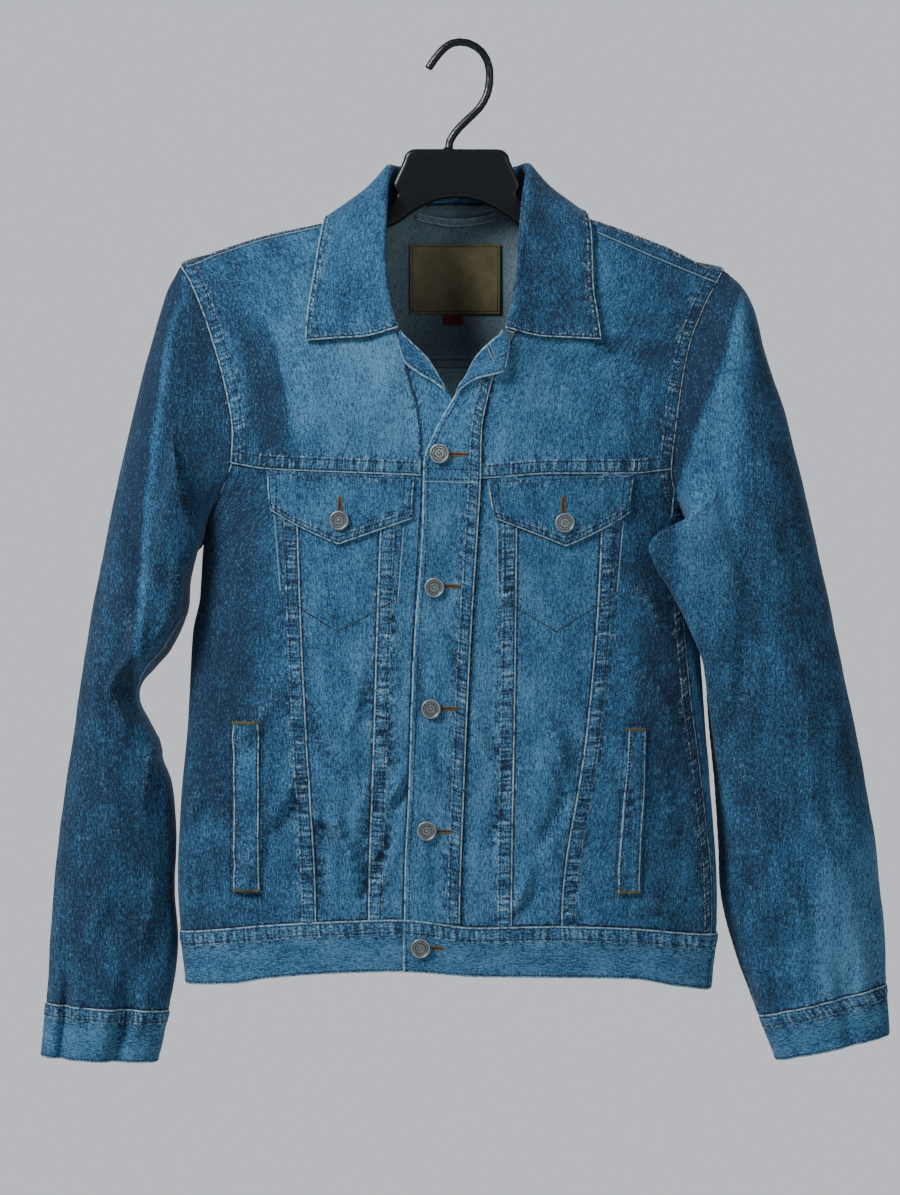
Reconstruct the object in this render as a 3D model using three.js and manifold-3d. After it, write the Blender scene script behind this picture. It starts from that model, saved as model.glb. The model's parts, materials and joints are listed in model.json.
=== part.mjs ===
// A denim jacket hung on a moulded plastic hanger.
// Millimetres, +Z up. X runs to the viewer's right and the jacket's front faces -Y.
// The origin is the top inside of the hanger's hook, where a rail carries it.
import * as THREE from 'three';
import { mergeVertices } from 'three/addons/utils/BufferGeometryUtils.js';
import Module from 'manifold-3d';

// Cloth thicknesses and clearances
const CLOTH = 1.4; // one layer of denim with its turned seam
const BAND = 2.2; // two layers, as in bands, plackets and the collar
const GAP = 0.3; // between neighbouring pieces
const OVER = 0.6; // under a piece that lies on a panel
const BEVEL = 0.45; // how much smaller a piece is on its inside, all round
const YOKE_BEVEL = 1.3; // the same on the yokes
const SLEEVE_BEVEL = 1.7; // the same along a sleeve's own seams
const ARMHOLE_BEVEL = 2.3; // the same where a sleeve meets the body
const ARMHOLE_GAP = 1; // a sleeve's own share of the gap to the body
const PARE_TOLERANCE = 0.03; // how far a pared piece may stray from its form
const BACK_SHARE = 0.9; // depth of the back of the body against the front
const COLLAR_FOLD = 3.2; // half the width of the collar's folded edge
const COLLAR_CLEAR = 2.8; // between the body and the collar's leaf
const STEP = 0.004; // step for slopes, as a share of a piece's side

// Driving sizes of the trims
const BUTTON_RADIUS = 8.5;
const BUTTON_HEIGHT = 3.6;
const BUTTON_FACETS = 12;
const PATCH = { left: -44, right: 35.5, top: -164, bottom: -224, thick: 1.2 };
const TAB = { left: -14.5, right: 2.5, top: -225, bottom: -233, thick: 1 };
const TRIM_CLEAR = 1; // between the back yoke's inside and the patch and tab
const LOOP = { left: -38, right: 32, width: 6, bow: 9, thick: 1.4, stand: 3 };
const HOOK_RADIUS = 3.75;
const ARM_HALF_THICK = 6.5;
const PLATE_HALF_THICK = 6.5;

// The body's outline and depths, from the shoulders to the hem. left and right are the
// armhole seams and then the sides, edge and middle the distances from the hanger's
// plane, round the exponent of the curve between them.
const BODY = [
  { z: -190, left: -240.7, right: 228.3, backLeft: -240.7, backRight: 228.3, edge: 40, middle: 52, round: 2 },
  { z: -200, left: -234.6, right: 223.5, backLeft: -235, backRight: 224, edge: 40, middle: 52, round: 2 },
  { z: -228, left: -222, right: 208.7, backLeft: -225, backRight: 213, edge: 42, middle: 53, round: 2 },
  { z: -258, left: -211.7, right: 197, backLeft: -217, backRight: 204, edge: 43, middle: 54, round: 2 },
  { z: -293, left: -201.6, right: 189.5, backLeft: -211, backRight: 198, edge: 43, middle: 54, round: 2 },
  { z: -337, left: -194.4, right: 183.3, backLeft: -207, backRight: 194, edge: 42, middle: 54, round: 2 },
  { z: -365, left: -195.8, right: 180.4, backLeft: -208, backRight: 193, edge: 38, middle: 54, round: 1.9 },
  { z: -386, left: -204.5, right: 183.2, backLeft: -211, backRight: 194, edge: 30, middle: 54, round: 1.6 },
  { z: -407, left: -215, right: 191, backLeft: -216, backRight: 197, edge: 18, middle: 54, round: 1.2 },
  { z: -430, left: -221, right: 201, backLeft: -221, backRight: 201, edge: 0, middle: 54, round: 0.75 },
  { z: -475, left: -224, right: 204.5, backLeft: -224, backRight: 204.5, edge: 0, middle: 53, round: 0.66 },
  { z: -505, left: -229.9, right: 206, backLeft: -229.9, backRight: 206, edge: 0, middle: 52, round: 0.66 },
  { z: -586, left: -234.7, right: 211.5, backLeft: -234.7, backRight: 211.5, edge: 0, middle: 50, round: 0.66 },
  { z: -659, left: -241, right: 217.3, backLeft: -241, backRight: 217.3, edge: 0, middle: 48, round: 0.66 },
  { z: -721, left: -243.3, right: 221.5, backLeft: -243.3, backRight: 221.5, edge: 0, middle: 46, round: 0.66 },
  { z: -765, left: -240.5, right: 221, backLeft: -240.5, backRight: 221, edge: 0, middle: 45, round: 0.66 },
  { z: -812, left: -236, right: 215.5, backLeft: -236, backRight: 215.5, edge: 0, middle: 44, round: 0.66 },
];

// The top of the body: the shoulder seams, and between them the arch that the neck
// would close at, which gives the cloth its distance from the hanger round the neck.
const RIDGE = [
  { x: -240.7, z: -189.8 },
  { x: -213, z: -178.6 },
  { x: -168, z: -163.9 },
  { x: -120.8, z: -153.6 },
  { x: -80, z: -143 },
  { x: -62, z: -112 },
  { x: -40, z: -80 },
  { x: -2.5, z: -55 },
  { x: 35, z: -80 },
  { x: 57, z: -110 },
  { x: 75, z: -139 },
  { x: 115.6, z: -150.5 },
  { x: 173.4, z: -171.7 },
  { x: 228.3, z: -193.3 },
];

// How far the cloth has come away from the hanger, by the drop below the ridge
const DROP = [
  { drop: 0, share: 0 },
  { drop: 1, share: 0.11 },
  { drop: 3, share: 0.2 },
  { drop: 8, share: 0.3 },
  { drop: 20, share: 0.4 },
  { drop: 45, share: 0.52 },
  { drop: 80, share: 0.66 },
  { drop: 130, share: 0.84 },
  { drop: 190, share: 1 },
];

// The largest folds of the body: soft troughs (negative) and ridges across the front
// and the back, each an oval of length along and width across its direction.
const BODY_FOLDS = [
  { side: 'front', x: -105, z: -620, lean: 12, along: 90, across: 16, rise: 4 },
  { side: 'front', x: -60, z: -690, lean: -20, along: 60, across: 14, rise: -4 },
  { side: 'front', x: -205, z: -640, lean: 4, along: 110, across: 14, rise: -3.5 },
  { side: 'front', x: 70, z: -640, lean: 8, along: 100, across: 16, rise: 3.5 },
  { side: 'front', x: 175, z: -660, lean: -6, along: 90, across: 14, rise: -3.5 },
  { side: 'front', x: -215, z: -300, lean: -20, along: 60, across: 12, rise: -3 },
  { side: 'back', x: -90, z: -560, lean: -10, along: 140, across: 22, rise: 4 },
  { side: 'back', x: 60, z: -600, lean: 8, along: 130, across: 20, rise: -4 },
  { side: 'back', x: 130, z: -480, lean: 16, along: 110, across: 22, rise: 4 },
  { side: 'back', x: -150, z: -430, lean: -20, along: 90, across: 20, rise: -3.5 },
];

// Seams of the body that run down it, as distances across at each height
const SEAMS = [
  { z: -369, outerLeft: -139.9, innerLeft: -65.6, innerRight: 48.3, outerRight: 121.4 },
  { z: -417, outerLeft: -137.8, innerLeft: -68.1, innerRight: 48.3, outerRight: 119.7 },
  { z: -512, outerLeft: -134.4, innerLeft: -71.5, innerRight: 47.5, outerRight: 114.6 },
  { z: -594, outerLeft: -130.3, innerLeft: -73.9, innerRight: 46.3, outerRight: 106.6 },
  { z: -750, outerLeft: -122.5, innerLeft: -78.3, innerRight: 44.1, outerRight: 85.7 },
];
const BACK_SEAMS = [
  { z: -369, backLeft: -118, backRight: 98 },
  { z: -417, backLeft: -113, backRight: 93 },
  { z: -512, backLeft: -103, backRight: 83 },
  { z: -594, backLeft: -94, backRight: 74 },
  { z: -750, backLeft: -78, backRight: 58 },
];

// Where the side seams lie round the body: 1 is the side itself, less is to the front
const SIDE_SEAM = [
  { z: -361, left: -1, right: 1 },
  { z: -430, left: -1, right: 1 },
  { z: -452, left: -1, right: 0.86 },
  { z: -478, left: -1, right: 0.77 },
  { z: -551, left: -1, right: 0.785 },
  { z: -608, left: -1, right: 0.815 },
  { z: -690, left: -1, right: 0.85 },
  { z: -765, left: -1, right: 0.87 },
];

// Heights of the seams that run across the body, and of the hem
const LEVELS = [
  { x: -244, yoke: -353, bandTop: -762, hem: -808, backYoke: -353, backBandTop: -762, backHem: -808 },
  { x: -195, yoke: -361.4, bandTop: -758, hem: -806, backYoke: -361.4, backBandTop: -761, backHem: -805 },
  { x: -166, yoke: -366.5, bandTop: -755, hem: -801, backYoke: -361, backBandTop: -759, backHem: -804 },
  { x: -100, yoke: -369.9, bandTop: -751, hem: -796, backYoke: -360, backBandTop: -757, backHem: -802 },
  { x: -47, yoke: -372, bandTop: -749.5, hem: -794.5, backYoke: -359, backBandTop: -756, backHem: -801 },
  { x: 14, yoke: -375, bandTop: -756, hem: -798.5, backYoke: -359, backBandTop: -756, backHem: -801 },
  { x: 78, yoke: -371, bandTop: -755, hem: -799.5, backYoke: -360, backBandTop: -757, backHem: -802 },
  { x: 146, yoke: -370.5, bandTop: -757.5, hem: -801, backYoke: -362, backBandTop: -760, backHem: -804 },
  { x: 190, yoke: -365.7, bandTop: -762, hem: -808.5, backYoke: -365.7, backBandTop: -762, backHem: -808.5 },
  { x: 226, yoke: -365, bandTop: -764.5, hem: -813, backYoke: -365, backBandTop: -764.5, backHem: -813 },
];

// The front edges of the two halves, down from the collar. stitch is the line where a
// placket meets its panels, edge its free edge.
const LEFT_PLACKET = [
  { stitchX: -50.5, stitchZ: -257, edgeX: -47.5, edgeZ: -252 },
  { stitchX: -47, stitchZ: -272, edgeX: -34, edgeZ: -265.5 },
  { stitchX: -44.3, stitchZ: -285, edgeX: -25, edgeZ: -275.5 },
  { stitchX: -37.5, stitchZ: -309.6, edgeX: -15, edgeZ: -292 },
  { stitchX: -33.3, stitchZ: -337.6, edgeX: -2, edgeZ: -318 },
  { stitchX: -33.3, stitchZ: -372, edgeX: 11.5, edgeZ: -360 },
  { stitchX: -35.5, stitchZ: -420, edgeX: 10, edgeZ: -420 },
  { stitchX: -40.9, stitchZ: -512, edgeX: 4, edgeZ: -512 },
  { stitchX: -45.5, stitchZ: -640, edgeX: -1.5, edgeZ: -640 },
  { stitchX: -49.4, stitchZ: -749.5, edgeX: -6, edgeZ: -751 },
];
const RIGHT_PLACKET = [
  { edgeX: 36.5, edgeZ: -254, stitchX: 40.7, stitchZ: -260.3 },
  { edgeX: 23.7, edgeZ: -260.3, stitchX: 33.9, stitchZ: -271 },
  { edgeX: 12.6, edgeZ: -272.2, stitchX: 28.5, stitchZ: -287 },
  { edgeX: 4.1, edgeZ: -288.3, stitchX: 23, stitchZ: -309 },
  { edgeX: -8.2, edgeZ: -310.4, stitchX: 18.6, stitchZ: -332.5 },
  { edgeX: -20, edgeZ: -331, stitchX: 18, stitchZ: -350 },
  { edgeX: -31.2, edgeZ: -362.3, stitchX: 17.7, stitchZ: -372.5 },
  { edgeX: -32.5, edgeZ: -420, stitchX: 15, stitchZ: -420 },
  { edgeX: -39.2, edgeZ: -511.9, stitchX: 9.2, stitchZ: -512 },
  { edgeX: -44, edgeZ: -640, stitchX: 3.5, stitchZ: -640 },
  { edgeX: -47.7, edgeZ: -750, stitchX: -0.1, stitchZ: -753 },
];

// The neck edge of each front, from the shoulder seam down to the end of the collar
const LEFT_NECK = [
  { x: -80, z: -143 },
  { x: -79.5, z: -160 },
  { x: -77.5, z: -185 },
  { x: -72, z: -210 },
  { x: -63, z: -235 },
];
const RIGHT_NECK = [
  { x: 75, z: -139 },
  { x: 74, z: -160 },
  { x: 71, z: -185 },
  { x: 64, z: -212 },
  { x: 53, z: -238 },
];

// Overlaid pieces on the fronts
const LEFT_FLAP = {
  left: [{ x: -164.6, z: -367.4 }, { x: -161.6, z: -400.5 }],
  right: [{ x: -38.4, z: -373.5 }, { x: -40.1, z: -409 }],
  bottom: [{ x: -161.6, z: -400.5 }, { x: -103.2, z: -431.1 }, { x: -40.1, z: -409 }],
  top: [{ x: -164.6, z: -367.4 }, { x: -102, z: -370.5 }, { x: -38.4, z: -373.5 }],
};
const RIGHT_FLAP = {
  left: [{ x: 23.3, z: -375.9 }, { x: 29.3, z: -409 }],
  right: [{ x: 147.8, z: -371 }, { x: 144.7, z: -403.1 }],
  bottom: [{ x: 29.3, z: -409 }, { x: 89.1, z: -432.8 }, { x: 144.7, z: -403.1 }],
  top: [{ x: 23.3, z: -375.9 }, { x: 86, z: -373 }, { x: 147.8, z: -371 }],
};
const LEFT_WELT = {
  left: [{ x: -193.1, z: -581.6 }, { x: -193.1, z: -726.9 }],
  right: [{ x: -171, z: -581.6 }, { x: -171, z: -726.9 }],
};
const RIGHT_WELT = {
  left: [{ x: 143.1, z: -587.1 }, { x: 133.9, z: -727.8 }],
  right: [{ x: 157.6, z: -587.1 }, { x: 152.9, z: -727.8 }],
};

// The turned-back tops of the fronts, from the collar down to the first button
const LEFT_LAPEL = [
  { rollX: -49.5, rollZ: -249, freeX: -51.5, freeZ: -256, lift: 1 },
  { rollX: -42.6, rollZ: -257.5, freeX: -47.5, freeZ: -276, lift: 3 },
  { rollX: -27.3, rollZ: -273, freeX: -35.8, freeZ: -286, lift: 2.6 },
  { rollX: -16.8, rollZ: -290, freeX: -20.5, freeZ: -295.1, lift: 2 },
  { rollX: -12.5, rollZ: -299, freeX: -13.5, freeZ: -301.5, lift: 1.4 },
];
const RIGHT_LAPEL = [
  { rollX: 34.7, rollZ: -249, freeX: 41, freeZ: -258.6, lift: 1 },
  { rollX: 23.7, rollZ: -260.3, freeX: 37.9, freeZ: -284.1, lift: 3.4 },
  { rollX: 12.6, rollZ: -272.2, freeX: 14, freeZ: -291.3, lift: 3 },
  { rollX: 4.1, rollZ: -288.3, freeX: 3.2, freeZ: -297.7, lift: 2.2 },
  { rollX: -3.6, rollZ: -301.5, freeX: -1.6, freeZ: -304.2, lift: 1.6 },
];

// The collar from its left front end round the neck to its right front end: the neck
// seam, the fold, and the free edge lying on the body. side is 1 front, -1 back.
const COLLAR = [
  { seamX: -54.5, seamZ: -247.5, foldX: -53, foldY: -48, foldZ: -246.5, edgeX: -132, edgeZ: -258, side: 1 },
  { seamX: -63, seamZ: -234, foldX: -57.9, foldY: -46, foldZ: -231, edgeX: -130, edgeZ: -230, side: 1 },
  { seamX: -72, seamZ: -209, foldX: -63.5, foldY: -43, foldZ: -200, edgeX: -125, edgeZ: -200, side: 1 },
  { seamX: -77.5, seamZ: -184, foldX: -64.7, foldY: -34, foldZ: -166, edgeX: -121.5, edgeZ: -177, side: 1 },
  { seamX: -79.5, seamZ: -160, foldX: -63.5, foldY: -19, foldZ: -131, edgeX: -117.5, edgeZ: -159, side: 1 },
  { seamX: -79, seamZ: -142, foldX: -60.5, foldY: 2, foldZ: -105, edgeX: -113, edgeZ: -148, side: -1 },
  { seamX: -66, seamZ: -138, foldX: -52, foldY: 24, foldZ: -102, edgeX: -92, edgeZ: -159, side: -1 },
  { seamX: -36, seamZ: -134, foldX: -32, foldY: 37, foldZ: -104, edgeX: -50, edgeZ: -172, side: -1 },
  { seamX: -2.5, seamZ: -132.5, foldX: -2.5, foldY: 41, foldZ: -105, edgeX: -2.5, edgeZ: -176, side: -1 },
  { seamX: 31, seamZ: -134, foldX: 27, foldY: 37, foldZ: -104, edgeX: 45, edgeZ: -171, side: -1 },
  { seamX: 61, seamZ: -137, foldX: 47, foldY: 24, foldZ: -102, edgeX: 84, edgeZ: -160, side: -1 },
  { seamX: 74, seamZ: -138.5, foldX: 58, foldY: 2, foldZ: -104, edgeX: 106, edgeZ: -144, side: -1 },
  { seamX: 74, seamZ: -160, foldX: 54, foldY: -19, foldZ: -135, edgeX: 111.5, edgeZ: -158, side: 1 },
  { seamX: 71, seamZ: -184, foldX: 51.5, foldY: -34, foldZ: -170, edgeX: 113, edgeZ: -180, side: 1 },
  { seamX: 64, seamZ: -211, foldX: 48.5, foldY: -43, foldZ: -203, edgeX: 113.8, edgeZ: -212, side: 1 },
  { seamX: 53, seamZ: -237, foldX: 41.5, foldY: -46, foldZ: -231, edgeX: 117.5, edgeZ: -237, side: 1 },
  { seamX: 44, seamZ: -251, foldX: 38.8, foldY: -48, foldZ: -246.5, edgeX: 120, edgeZ: -257, side: 1 },
];

// Sleeve sections from just below the armhole to the cuff: the outline's outer and
// inner points, the depth to the front and to the back of their middle, and that
// middle's own place behind the hanger's plane.
const LEFT_SLEEVE = [
  { outerX: -252.8, outerZ: -213.1, innerX: -226, innerZ: -436, front: 44, back: 42, middle: 0 },
  { outerX: -263.2, outerZ: -248.5, innerX: -227.5, innerZ: -441, front: 46, back: 45, middle: 0 },
  { outerX: -278.7, outerZ: -306.3, innerX: -229, innerZ: -449, front: 47, back: 47, middle: 0 },
  { outerX: -296, outerZ: -382.2, innerX: -231, innerZ: -463, front: 47, back: 48, middle: 0 },
  { outerX: -311.5, outerZ: -458.1, innerX: -233.5, innerZ: -489, front: 45, back: 48, middle: 1 },
  { outerX: -321.8, outerZ: -512.5, innerX: -250, innerZ: -522, front: 42, back: 47, middle: 3 },
  { outerX: -328, outerZ: -553, innerX: -277, innerZ: -556, front: 36, back: 44, middle: 6 },
  { outerX: -334.8, outerZ: -599.2, innerX: -263.2, innerZ: -594.5, front: 36, back: 42, middle: 8 },
  { outerX: -341.5, outerZ: -641, innerX: -249.5, innerZ: -636.3, front: 37, back: 41, middle: 10 },
  { outerX: -347.7, outerZ: -685.9, innerX: -245.5, innerZ: -682, front: 37, back: 39, middle: 11 },
  { outerX: -352, outerZ: -731, innerX: -246.5, innerZ: -733, front: 34, back: 36, middle: 11 },
  { outerX: -354.8, outerZ: -778, innerX: -244.5, innerZ: -783, front: 29, back: 31, middle: 9 },
  { outerX: -357.2, outerZ: -824.8, innerX: -251.9, innerZ: -831.7, front: 25, back: 26, middle: 6 },
  { outerX: -361.5, outerZ: -871.4, innerX: -262, innerZ: -876.5, front: 23, back: 24, middle: 4 },
];
const RIGHT_SLEEVE = [
  { outerX: 242.4, outerZ: -206.6, innerX: 206, innerZ: -436, front: 44, back: 42, middle: 0 },
  { outerX: 253, outerZ: -226, innerX: 207, innerZ: -440, front: 46, back: 45, middle: 0 },
  { outerX: 264, outerZ: -268.3, innerX: 208, innerZ: -446, front: 48, back: 47, middle: 0 },
  { outerX: 282.1, outerZ: -324.4, innerX: 209.5, innerZ: -456, front: 49, back: 48, middle: 0 },
  { outerX: 299.4, outerZ: -395.2, innerX: 210.5, innerZ: -474, front: 49, back: 48, middle: 0 },
  { outerX: 316, outerZ: -470, innerX: 211.5, innerZ: -502, front: 48, back: 48, middle: 1 },
  { outerX: 328, outerZ: -526, innerX: 213, innerZ: -536, front: 46, back: 47, middle: 3 },
  { outerX: 341, outerZ: -587, innerX: 215.5, innerZ: -580, front: 43, back: 45, middle: 6 },
  { outerX: 350.5, outerZ: -637, innerX: 220.5, innerZ: -630, front: 41, back: 42, middle: 8 },
  { outerX: 358.5, outerZ: -684, innerX: 224, innerZ: -680, front: 38, back: 39, middle: 9 },
  { outerX: 364.5, outerZ: -735, innerX: 227, innerZ: -735, front: 34, back: 35, middle: 9 },
  { outerX: 367.8, outerZ: -776, innerX: 240, innerZ: -785, front: 29, back: 30, middle: 8 },
  { outerX: 368.4, outerZ: -809.3, innerX: 258.8, innerZ: -836, front: 25, back: 26, middle: 6 },
  { outerX: 370.1, outerZ: -853.3, innerX: 273.5, innerZ: -875, front: 23, back: 24, middle: 4 },
];
const LAST_SLEEVE_ROW = LEFT_SLEEVE.length - 1; // the row where the sleeve meets its cuff
const CUFF_ROW = LEFT_SLEEVE.length; // the cuff's free edge, counting the armhole as row 0

// The sleeves' large folds, in rows down the sleeve and degrees round it: a lobe swings
// to the body's side and forward, a step lifts the cloth between a crease and the
// inner side.
const LEFT_LOBE = [
  { row: 0, across: 0, forward: 0 },
  { row: 1, across: 8, forward: 4 },
  { row: 3, across: 4, forward: 6 },
  { row: 5, across: 0, forward: 6 },
  { row: 7, across: 0, forward: 0 },
  { row: 14, across: 0, forward: 0 },
];
const RIGHT_LOBE = [
  { row: 0, across: 0, forward: 0 },
  { row: 0.5, across: 4, forward: 19 },
  { row: 1, across: 28, forward: 29 },
  { row: 2, across: 46, forward: 31 },
  { row: 3, across: 52, forward: 32 },
  { row: 4, across: 50, forward: 30 },
  { row: 5, across: 38, forward: 25 },
  { row: 6, across: 24, forward: 17 },
  { row: 7, across: 11, forward: 10 },
  { row: 8, across: 7, forward: 6 },
  { row: 10, across: 0, forward: 0 },
  { row: 14, across: 0, forward: 0 },
];
const LOBE_AT = 150; // degrees round the sleeve from its outer side, to the front
const LOBE_HALF = 26;
const LOBE_FORWARD_HALF = 42;
const CREASE = { at: 96, half: 12, lift: 10, firstRow: 0.6, endInner: 5.3, endOuter: 7, fade: 0.45 };
const CUFF_WAVES = [
  { share: 0, lift: 0 },
  { share: 0.1, lift: 3 },
  { share: 0.18, lift: -5 },
  { share: 0.27, lift: 5 },
  { share: 0.5, lift: 6 },
  { share: 0.56, lift: 5 },
  { share: 0.64, lift: -6 },
  { share: 0.8, lift: 0 },
  { share: 1, lift: 0 },
];
const SLEEVE_SEAMS = { front: { left: [180, 162, 150], right: [182, 186, 188] }, back: -62 };
const UNDERARM = -430;

// Buttons on the placket and the waistband, on the flaps, and on the cuffs
const PLACKET_BUTTONS = [
  { x: -17.6, z: -354 },
  { x: -21.8, z: -467.3 },
  { x: -24.8, z: -570.2 },
  { x: -28.3, z: -673.7 },
];
const BAND_BUTTON = { x: -33.5, z: -773.6 };
const FLAP_BUTTONS = [
  { name: 'button_flap_left', x: -102.1, z: -410.5 },
  { name: 'button_flap_right', x: 88.2, z: -412.6 },
];

// The hanger: the middle line of the hook, and the outline of the plate and arms
const HOOK = [
  { x: -27.6, z: -19.8 },
  { x: -19.9, z: -8.6 },
  { x: -9.5, z: 1.4 },
  { x: 0, z: 3.75 },
  { x: 10.5, z: 1.6 },
  { x: 19.5, z: -5.4 },
  { x: 24.5, z: -15 },
  { x: 25.6, z: -28 },
  { x: 23.6, z: -41 },
  { x: 17, z: -53 },
  { x: 7.5, z: -62.5 },
  { x: -2, z: -72 },
  { x: -8.6, z: -81.5 },
  { x: -10.5, z: -97 },
];
const PLATE = { left: -58.7, right: 53, top: -88.9, bottom: -130.3, taper: 10, corner: 10 };
const ARM_TOP_CLEAR = 2.3; // from the ridge of the shoulder down to the arm
const ARM_TALL_INNER = 30;
const ARM_TALL_OUTER = 17;
const ARM_END = 14; // how far the arm stops short of the shoulder seam
const ARM_STATIONS = 7;
const ARM_NECK = [
  { x: 70, z: -148 },
  { x: 58, z: -137 },
  { x: 46, z: -124 },
  { x: -51, z: -124 },
  { x: -64, z: -139 },
  { x: -75, z: -151 },
];
const ARM_ARCH = { left: -64.7, right: 53.5, z: -158, topX: -2.6, topZ: -131 };

// Colours, roughness and metalness from the real finishes
const FINISH = {
  denim: new THREE.MeshStandardMaterial({ color: 0x4f7896, roughness: 0.92, metalness: 0 }),
  metal: new THREE.MeshStandardMaterial({ color: 0x8f989b, roughness: 0.42, metalness: 1 }),
  leather: new THREE.MeshStandardMaterial({ color: 0x4c4734, roughness: 0.55, metalness: 0 }),
  tab: new THREE.MeshStandardMaterial({ color: 0x6b1620, roughness: 0.8, metalness: 0 }),
  plastic: new THREE.MeshStandardMaterial({ color: 0x12181d, roughness: 0.4, metalness: 0 }),
};

// Reading a table smoothly, with no overshoot between its rows
function smooth(rows, by) {
  const sorted = [...rows].sort((first, second) => first[by] - second[by]);
  const names = Object.keys(sorted[0]).filter((name) => typeof sorted[0][name] === 'number');
  const slopes = sorted.map((row, index) => {
    const slope = {};
    for (const name of names) {
      const before = sorted[index - 1];
      const after = sorted[index + 1];
      if (!before || !after) {
        slope[name] = 0;
        continue;
      }
      const rise = (row[name] - before[name]) / (row[by] - before[by]);
      const next = (after[name] - row[name]) / (after[by] - row[by]);
      slope[name] = rise * next > 0 ? (2 * rise * next) / (rise + next) : 0;
    }
    return slope;
  });
  return (at) => {
    const last = sorted.length - 1;
    if (at <= sorted[0][by]) return sorted[0];
    if (at >= sorted[last][by]) return sorted[last];
    let index = 0;
    while (at > sorted[index + 1][by]) index += 1;
    const span = sorted[index + 1][by] - sorted[index][by];
    const t = (at - sorted[index][by]) / span;
    const result = {};
    for (const name of names) {
      const from = sorted[index][name];
      const to = sorted[index + 1][name];
      const blend = t * t * (3 - 2 * t);
      const leave = t * (1 - t) * (1 - t) * slopes[index][name] * span;
      const arrive = t * t * (1 - t) * slopes[index + 1][name] * span;
      result[name] = from + (to - from) * blend + leave - arrive;
    }
    return result;
  };
}

const mix = (from, to, share) => from + (to - from) * share;
const clamp = (value, low, high) => Math.min(Math.max(value, low), high);
const bump = (distance) => (Math.abs(distance) < 1 ? Math.cos((distance * Math.PI) / 2) ** 2 : 0);
const ramp = (value, from, to) => {
  const t = clamp((value - from) / (to - from), 0, 1);
  return t * t * (3 - 2 * t);
};

// Even shares from 0 to 1, with extra ones near the start where a ridge is round
function shares(count, early = []) {
  const even = Array.from({ length: count + 1 }, (unused, index) => index / count);
  return [...new Set([...even, ...early])].sort((first, second) => first - second);
}

const bodyAt = smooth(BODY, 'z');
const ridgeAt = smooth(RIDGE, 'x');
const dropAt = smooth(DROP, 'drop');
const seamsAt = smooth(SEAMS, 'z');
const backSeamsAt = smooth(BACK_SEAMS, 'z');
const sideSeamAt = smooth(SIDE_SEAM, 'z');
const levelsAt = smooth(LEVELS, 'x');
const wavesAt = smooth(CUFF_WAVES, 'share');

// The depth that the folds of one side of the body add at a place
function foldDepth(side, x, z) {
  let depth = 0;
  for (const fold of BODY_FOLDS) {
    if (fold.side !== side) continue;
    const lean = THREE.MathUtils.degToRad(fold.lean);
    const down = (x - fold.x) * Math.sin(lean) + (z - fold.z) * Math.cos(lean);
    const over = (x - fold.x) * Math.cos(lean) - (z - fold.z) * Math.sin(lean);
    depth += fold.rise * bump(down / fold.along) * bump(over / (2 * fold.across));
  }
  return depth;
}

// A point on the body. around runs from -1, the left side, over the front to 1, the
// right side, and on over the back to 3.
function bodyPoint(around, z) {
  const back = Math.abs(around) > 1;
  const turn = back ? Math.sign(around) * 2 - around : around;
  const row = bodyAt(z);
  const left = back ? row.backLeft : row.left;
  const right = back ? row.backRight : row.right;
  const sine = Math.sin((turn * Math.PI) / 2);
  const cosine = Math.max(Math.cos((turn * Math.PI) / 2), 0);
  const x = (left + right) / 2 + (sine * (right - left)) / 2;
  const swell = row.edge + (row.middle - row.edge) * cosine ** row.round;
  const away = dropAt(ridgeAt(x).z - z).share;
  const open = (GAP / 2) * Math.min(row.edge / 10, 1);
  const fold = foldDepth(back ? 'back' : 'front', x, z) * Math.min(cosine * 3, 1) * away;
  const depth = (swell * away + fold) * (back ? BACK_SHARE : 1) + open;
  return new THREE.Vector3(x, back ? depth : -depth, z);
}

// The place round the body of a distance across it
function aroundAt(x, z, back = false) {
  const row = bodyAt(z);
  const left = back ? row.backLeft : row.left;
  const right = back ? row.backRight : row.right;
  const sine = clamp((2 * x - left - right) / (right - left), -1, 1);
  const turn = (Math.asin(sine) * 2) / Math.PI;
  return back ? 2 - turn : turn;
}

// A place down a line of the body, evenly by the number of its rows, smooth between them
function downLine(places, back = false, line = smooth(places, 'z')) {
  return (share) => {
    const at = clamp(share, 0, 1) * (places.length - 1);
    const index = Math.min(Math.floor(at), places.length - 2);
    const z = mix(places[index].z, places[index + 1].z, at - index);
    return { around: aroundAt(line(z).x, z, back), z };
  };
}

// A point along a list of places, evenly by their number
function along(places, share) {
  const at = clamp(share, 0, 1) * (places.length - 1);
  const index = Math.min(Math.floor(at), places.length - 2);
  const t = at - index;
  const from = places[index];
  const to = places[index + 1];
  return { around: mix(from.around, to.around, t), z: mix(from.z, to.z, t) };
}

const onBody = (places, back = false) =>
  places.map(({ x, z }) => ({ around: aroundAt(x, z, back), z }));

// A cut piece of the body between its four edges, each a function of a share
function between(edges) {
  const corner = {
    leftTop: edges.left(0),
    leftBottom: edges.left(1),
    rightTop: edges.right(0),
    rightBottom: edges.right(1),
  };
  return (u, v) => {
    const left = edges.left(v);
    const right = edges.right(v);
    const top = edges.top(u);
    const bottom = edges.bottom(u);
    const value = (name) => {
      const ruled = mix(left[name], right[name], u);
      const topLine = mix(corner.leftTop[name], corner.rightTop[name], u);
      const bottomLine = mix(corner.leftBottom[name], corner.rightBottom[name], u);
      return ruled + (1 - v) * (top[name] - topLine) + v * (bottom[name] - bottomLine);
    };
    return bodyPoint(value('around'), value('z'));
  };
}

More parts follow.
